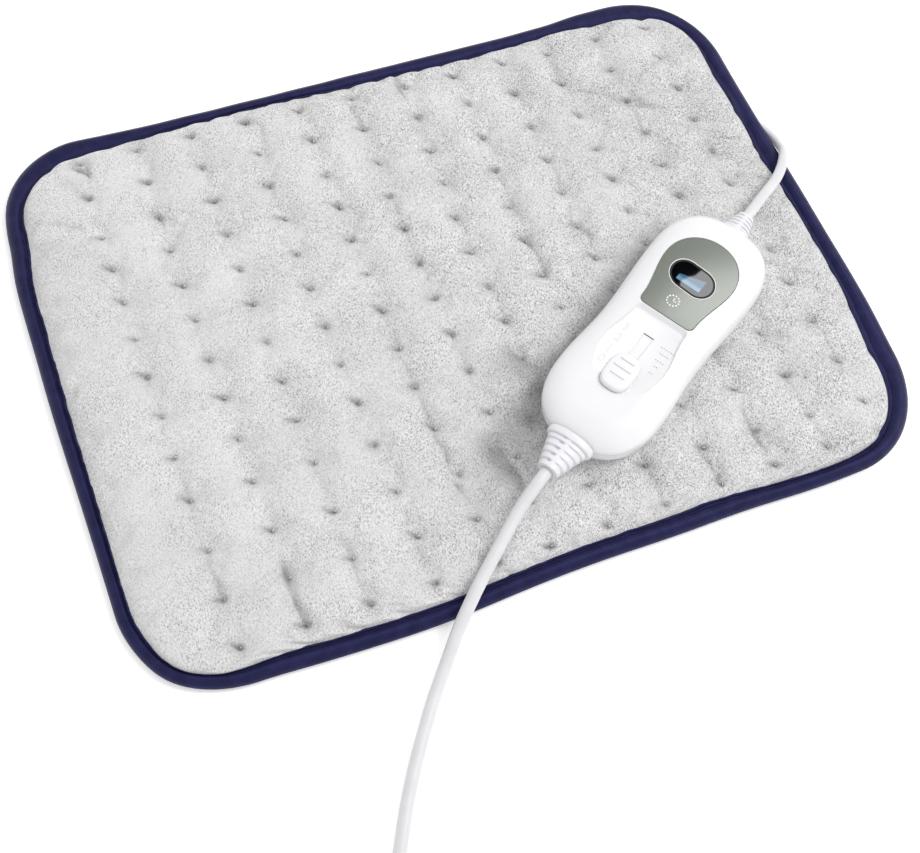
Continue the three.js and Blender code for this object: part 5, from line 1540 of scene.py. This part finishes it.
class StageSettings(bpy.types.PropertyGroup):
    """Camera and light."""
    camera_place: FloatVectorProperty(
        name="Camera place", description="Where the camera stands", subtype="TRANSLATION",
        default=(-0.17646, -0.30545, 0.56084))
    camera_turn: FloatVectorProperty(
        name="Camera turn", description="Rotation vector from the part's frame to the camera's",
        default=(2.6505803, -0.4848010, 0.2410824))
    lens: FloatProperty(name="Lens", description="Focal length for a sensor 36 mm wide",
                        default=51.818, min=1)
    key_power: FloatProperty(name="Key light", description="Power of the main light", default=14.0,
                             unit="POWER")
    surround: FloatProperty(name="Surround", description="Brightness of the surround", default=0.9)
    card: FloatProperty(name="Card", description="Brightness of the reflected card", default=7.0)
    floor_glow: FloatProperty(name="Floor glow", description="Light that the floor gives off",
                              default=0.24)


class LeadSettings(bpy.types.PropertyGroup):
    """Colours of the leads."""
    sheath: colour_setting("Sheath", "Colour of the leads", "#d7d7da")
    plug: colour_setting("Plug", "Colour of the plug", "#dcdce2")


def finishes():
    """The finishes that several operators share, made once, by the names of their uses."""
    known = bpy.data.materials
    scene = bpy.context.scene
    if "gloss_abs_shell" not in known:
        # Injection-moulded ABS: white, polished tool, so highlights are soft-edged but clear
        moulded("gloss_abs_shell", scene.heatpad_controller.shell, 0.22, 1.2, 0.99, 0.01, coat=0.3,
                coat_roughness=0.08)
        # Moulded vinyl of the strain reliefs: a little greyer and more matt than the shells
        moulded("moulded_vinyl_relief", "#e0e0e4", 0.38, 0.8, 0.98, 0.03)
        # Extruded vinyl of the leads: satin, with a faintly uneven skin
        moulded("extruded_vinyl_sheath", scene.heatpad_leads.sheath, 0.42, 1.6, 0.97, 0.05)
        # Moulded vinyl of the plug: satin and a shade lighter than the leads
        moulded("moulded_plug_vinyl", scene.heatpad_leads.plug, 0.4, 0.9, 0.97, 0.04)
        # Nylon of the tie: near black and half matt
        moulded("nylon_tie", "#2a2c30", 0.5, 0.6, 0.9, 0.1)
        # Turned brass of the pins: a yellow metal with a clean sheen
        moulded("turned_brass_pin", "#c9b070", 0.25, 0.3, 0.95, 0.02, metallic=1.0)
        # Screen-printing ink: flat white
        moulded("white_screen_ink", "#f4f4f4", 0.5, 0.8, 0.98, 0.01)
        # ABS of the raised figures: like the shells, but without their polish
        moulded("abs_raised_figures", "#e1e1e4", 0.4, 0.8, 0.98, 0.01)
        # Foam seal round the window: black and matt
        moulded("black_window_seal", "#0b0b0c", 0.6, 0.5, 0.9, 0.05)
        metallic_lacquer(scene.heatpad_controller.plate)
        back_printed_glass()
        lit_panel()
    names = {
        "shell": "gloss_abs_shell", "relief": "moulded_vinyl_relief",
        "lead": "extruded_vinyl_sheath", "plug": "moulded_plug_vinyl", "tie": "nylon_tie",
        "pin": "turned_brass_pin", "raised": "abs_raised_figures", "print": "white_screen_ink",
        "plate": "metallic_lacquered_plate", "glass": "back_printed_acrylic_window",
        "lit": "backlit_display_panel", "seal": "black_window_seal",
    }
    return {key: known[name] for key, name in names.items()}


class HEATPAD_OT_stage(bpy.types.Operator):
    """Makes the camera, the floor and the lights"""
    bl_idname = "heatpad.stage"
    bl_label = "Stage"

    def execute(self, context):
        scene = context.scene
        settings = scene.heatpad_stage
        camera = bpy.data.objects.new("camera", bpy.data.cameras.new("camera"))
        turn = Vector(settings.camera_turn)
        to_camera = Matrix.Rotation(turn.length, 3, turn.normalized())
        rows = Matrix((to_camera[0], -to_camera[1], -to_camera[2]))
        camera.matrix_world = Matrix.Translation(settings.camera_place) @ rows.transposed().to_4x4()
        camera.data.lens = settings.lens
        camera.data.sensor_width = 36
        camera.data.clip_start, camera.data.clip_end = 0.01, 20
        scene.collection.objects.link(camera)
        scene.camera = camera
        self.floor(scene, settings)
        self.lights(scene, settings)
        return {"FINISHED"}

    def floor(self, scene, settings):
        """A wide pale floor just under the part, lit a little from below."""
        size, low = 3.0, -2e-4
        mesh = bpy.data.meshes.new("floor")
        mesh.from_pydata([(-size, -size, low), (size, -size, low), (size, size, low),
                          (-size, size, low)], [], [(0, 1, 2, 3)])
        paper = moulded("matt_backdrop_paper", "#fdfdfd", 0.9, 2.0, 0.995, 0.0)
        shader = paper.node_tree.nodes["Principled BSDF"]
        shader.inputs["Emission Color"].default_value = (1, 1, 1, 1)
        shader.inputs["Emission Strength"].default_value = settings.floor_glow
        mesh.materials.append(paper)
        floor = bpy.data.objects.new("floor", mesh)
        scene.collection.objects.link(floor)

    def lights(self, scene, settings):
        """A soft key from the right, a pale surround, and the cards that the display reflects."""
        light = bpy.data.lights.new("key", "AREA")
        light.energy, light.size = settings.key_power, 0.7
        lamp = bpy.data.objects.new("key", light)
        lamp.location = (1.05, -0.22, 1.5)
        lamp.rotation_euler = lamp.location.to_track_quat("Z", "Y").to_euler()
        scene.collection.objects.link(lamp)
        world = bpy.data.worlds.new("surround")
        world.use_nodes = True
        world.node_tree.nodes["Background"].inputs["Color"].default_value = (1, 1, 1, 1)
        world.node_tree.nodes["Background"].inputs["Strength"].default_value = settings.surround
        scene.world = world
        scene.view_settings.view_transform = "Standard"
        self.cards(scene, settings)

    def cards(self, scene, settings):
        """A bright card and a black one over the part, seen only in its gloss. Their common edge
        is the line on the window carried along the mirrored rays from the camera."""
        eye = np.array(settings.camera_place)
        window = placed([[x, y, BODY_TOP] for x, y in CARD_EDGE])
        mirror = eye * [1, 1, -1] + [0, 0, 2 * window[0, 2]]
        height = 1.1
        edge = mirror + (window - mirror) * ((height - mirror[2]) / (window[:, 2:] - mirror[2]))
        side = heading(TURN - math.pi / 2)
        for name, way, reach, strength in (("bright_card", side, 0.3, settings.card),
                                           ("black_card", -side, 0.5, 0.0)):
            points = np.concatenate([edge, (edge + way * reach)[::-1]])
            mesh = bpy.data.meshes.new(name)
            mesh.from_pydata(points.tolist(), [], [list(range(len(points)))])
            material, tree = new_material(name)
            glow = add(tree, "ShaderNodeEmission", {"Strength": strength})
            add(tree, "ShaderNodeOutputMaterial", {"Surface": glow.outputs["Emission"]})
            mesh.materials.append(material)
            card = bpy.data.objects.new(name, mesh)
            card.visible_camera = card.visible_diffuse = card.visible_shadow = False
            scene.collection.objects.link(card)


# Line across the window where the bright card's reflection ends, in the controller's frame
CARD_EDGE = [(64, -20), (48, -10), (43, -4), (40.2, -1), (38.0, -0.4), (36.4, 0.0), (34.9, 0.2),
             (33.9, 0.4), (32.6, 1.4), (31.4, 2.2), (29.6, 3.2), (28.4, 3.7), (26.6, 4.0),
             (25.2, 3.5), (24.4, 2.9), (23.4, 2.6), (19, 3), (10, 4), (0, 9)]


class HEATPAD_OT_leads(bpy.types.Operator):
    """Makes the leads, the tie and the plug"""
    bl_idname = "heatpad.leads"
    bl_label = "Leads"

    def execute(self, context):
        materials = finishes()
        build_plug(materials)
        build_tie(materials)
        build_mains_lead(materials)
        build_pad_lead(materials)
        return {"FINISHED"}


class HEATPAD_OT_pad(bpy.types.Operator):
    """Makes the plush cover, the back, the padding and the edge tape"""
    bl_idname = "heatpad.pad"
    bl_label = "Pad"

    def execute(self, context):
        build_plush_top()
        build_pad_back()
        build_padding()
        build_binding()
        return {"FINISHED"}


class HEATPAD_OT_housing(bpy.types.Operator):
    """Makes the controller's shells and strain reliefs"""
    bl_idname = "heatpad.housing"
    bl_label = "Housing"

    def execute(self, context):
        materials = finishes()
        build_housing(materials)
        build_relief("mains_relief", TAIL_FACE, -1, MAINS_RELIEF, 24, 13, 10.6, 1.2,
                     "mains_strain_relief", materials["relief"])
        build_relief("pad_relief", HEAD_FACE, 1, PAD_RELIEF, 17, 11.6, 9, 0.0,
                     "pad_strain_relief", materials["relief"])
        return {"FINISHED"}


class HEATPAD_OT_face(bpy.types.Operator):
    """Makes the display plate, its window, the signs and the slider"""
    bl_idname = "heatpad.face"
    bl_label = "Controller face"

    def execute(self, context):
        materials = finishes()
        build_plate(materials)
        build_signs(materials)
        build_slider(materials)
        build_shutter(materials)
        return {"FINISHED"}


class HEATPAD_OT_inside(bpy.types.Operator):
    """Gives the hidden parts their finishes"""
    bl_idname = "heatpad.inside"
    bl_label = "Inside"

    def execute(self, context):
        dress_hidden()
        return {"FINISHED"}


OPERATORS = (HEATPAD_OT_stage, HEATPAD_OT_leads, HEATPAD_OT_pad, HEATPAD_OT_housing,
             HEATPAD_OT_face, HEATPAD_OT_inside)


class HEATPAD_PT_panel(bpy.types.Panel):
    """Lists the steps that build the part"""
    bl_idname = "HEATPAD_PT_panel"
    bl_label = "Heating pad"
    bl_space_type = "VIEW_3D"
    bl_region_type = "UI"
    bl_category = "Heating pad"

    def draw(self, context):
        for operator in OPERATORS:
            self.layout.operator(operator.bl_idname)


SETTINGS = {"heatpad_pad": PadSettings, "heatpad_stage": StageSettings,
            "heatpad_controller": ControllerSettings, "heatpad_leads": LeadSettings}
CLASSES = (*SETTINGS.values(), *OPERATORS, HEATPAD_PT_panel)


def register():
    """Adds the classes, and the settings to the scene."""
    for item in CLASSES:
        bpy.utils.register_class(item)
    for name, group in SETTINGS.items():
        setattr(bpy.types.Scene, name, PointerProperty(type=group))


def unregister():
    """Takes the settings and the classes away again."""
    for name in SETTINGS:
        delattr(bpy.types.Scene, name)
    for item in reversed(CLASSES):
        bpy.utils.unregister_class(item)


def main():
    """Builds everything in order."""
    register()
    bpy.ops.heatpad.stage()
    bpy.ops.heatpad.leads()
    bpy.ops.heatpad.pad()
    bpy.ops.heatpad.housing()
    bpy.ops.heatpad.face()
    bpy.ops.heatpad.inside()


if __name__ == "__main__":
    main()
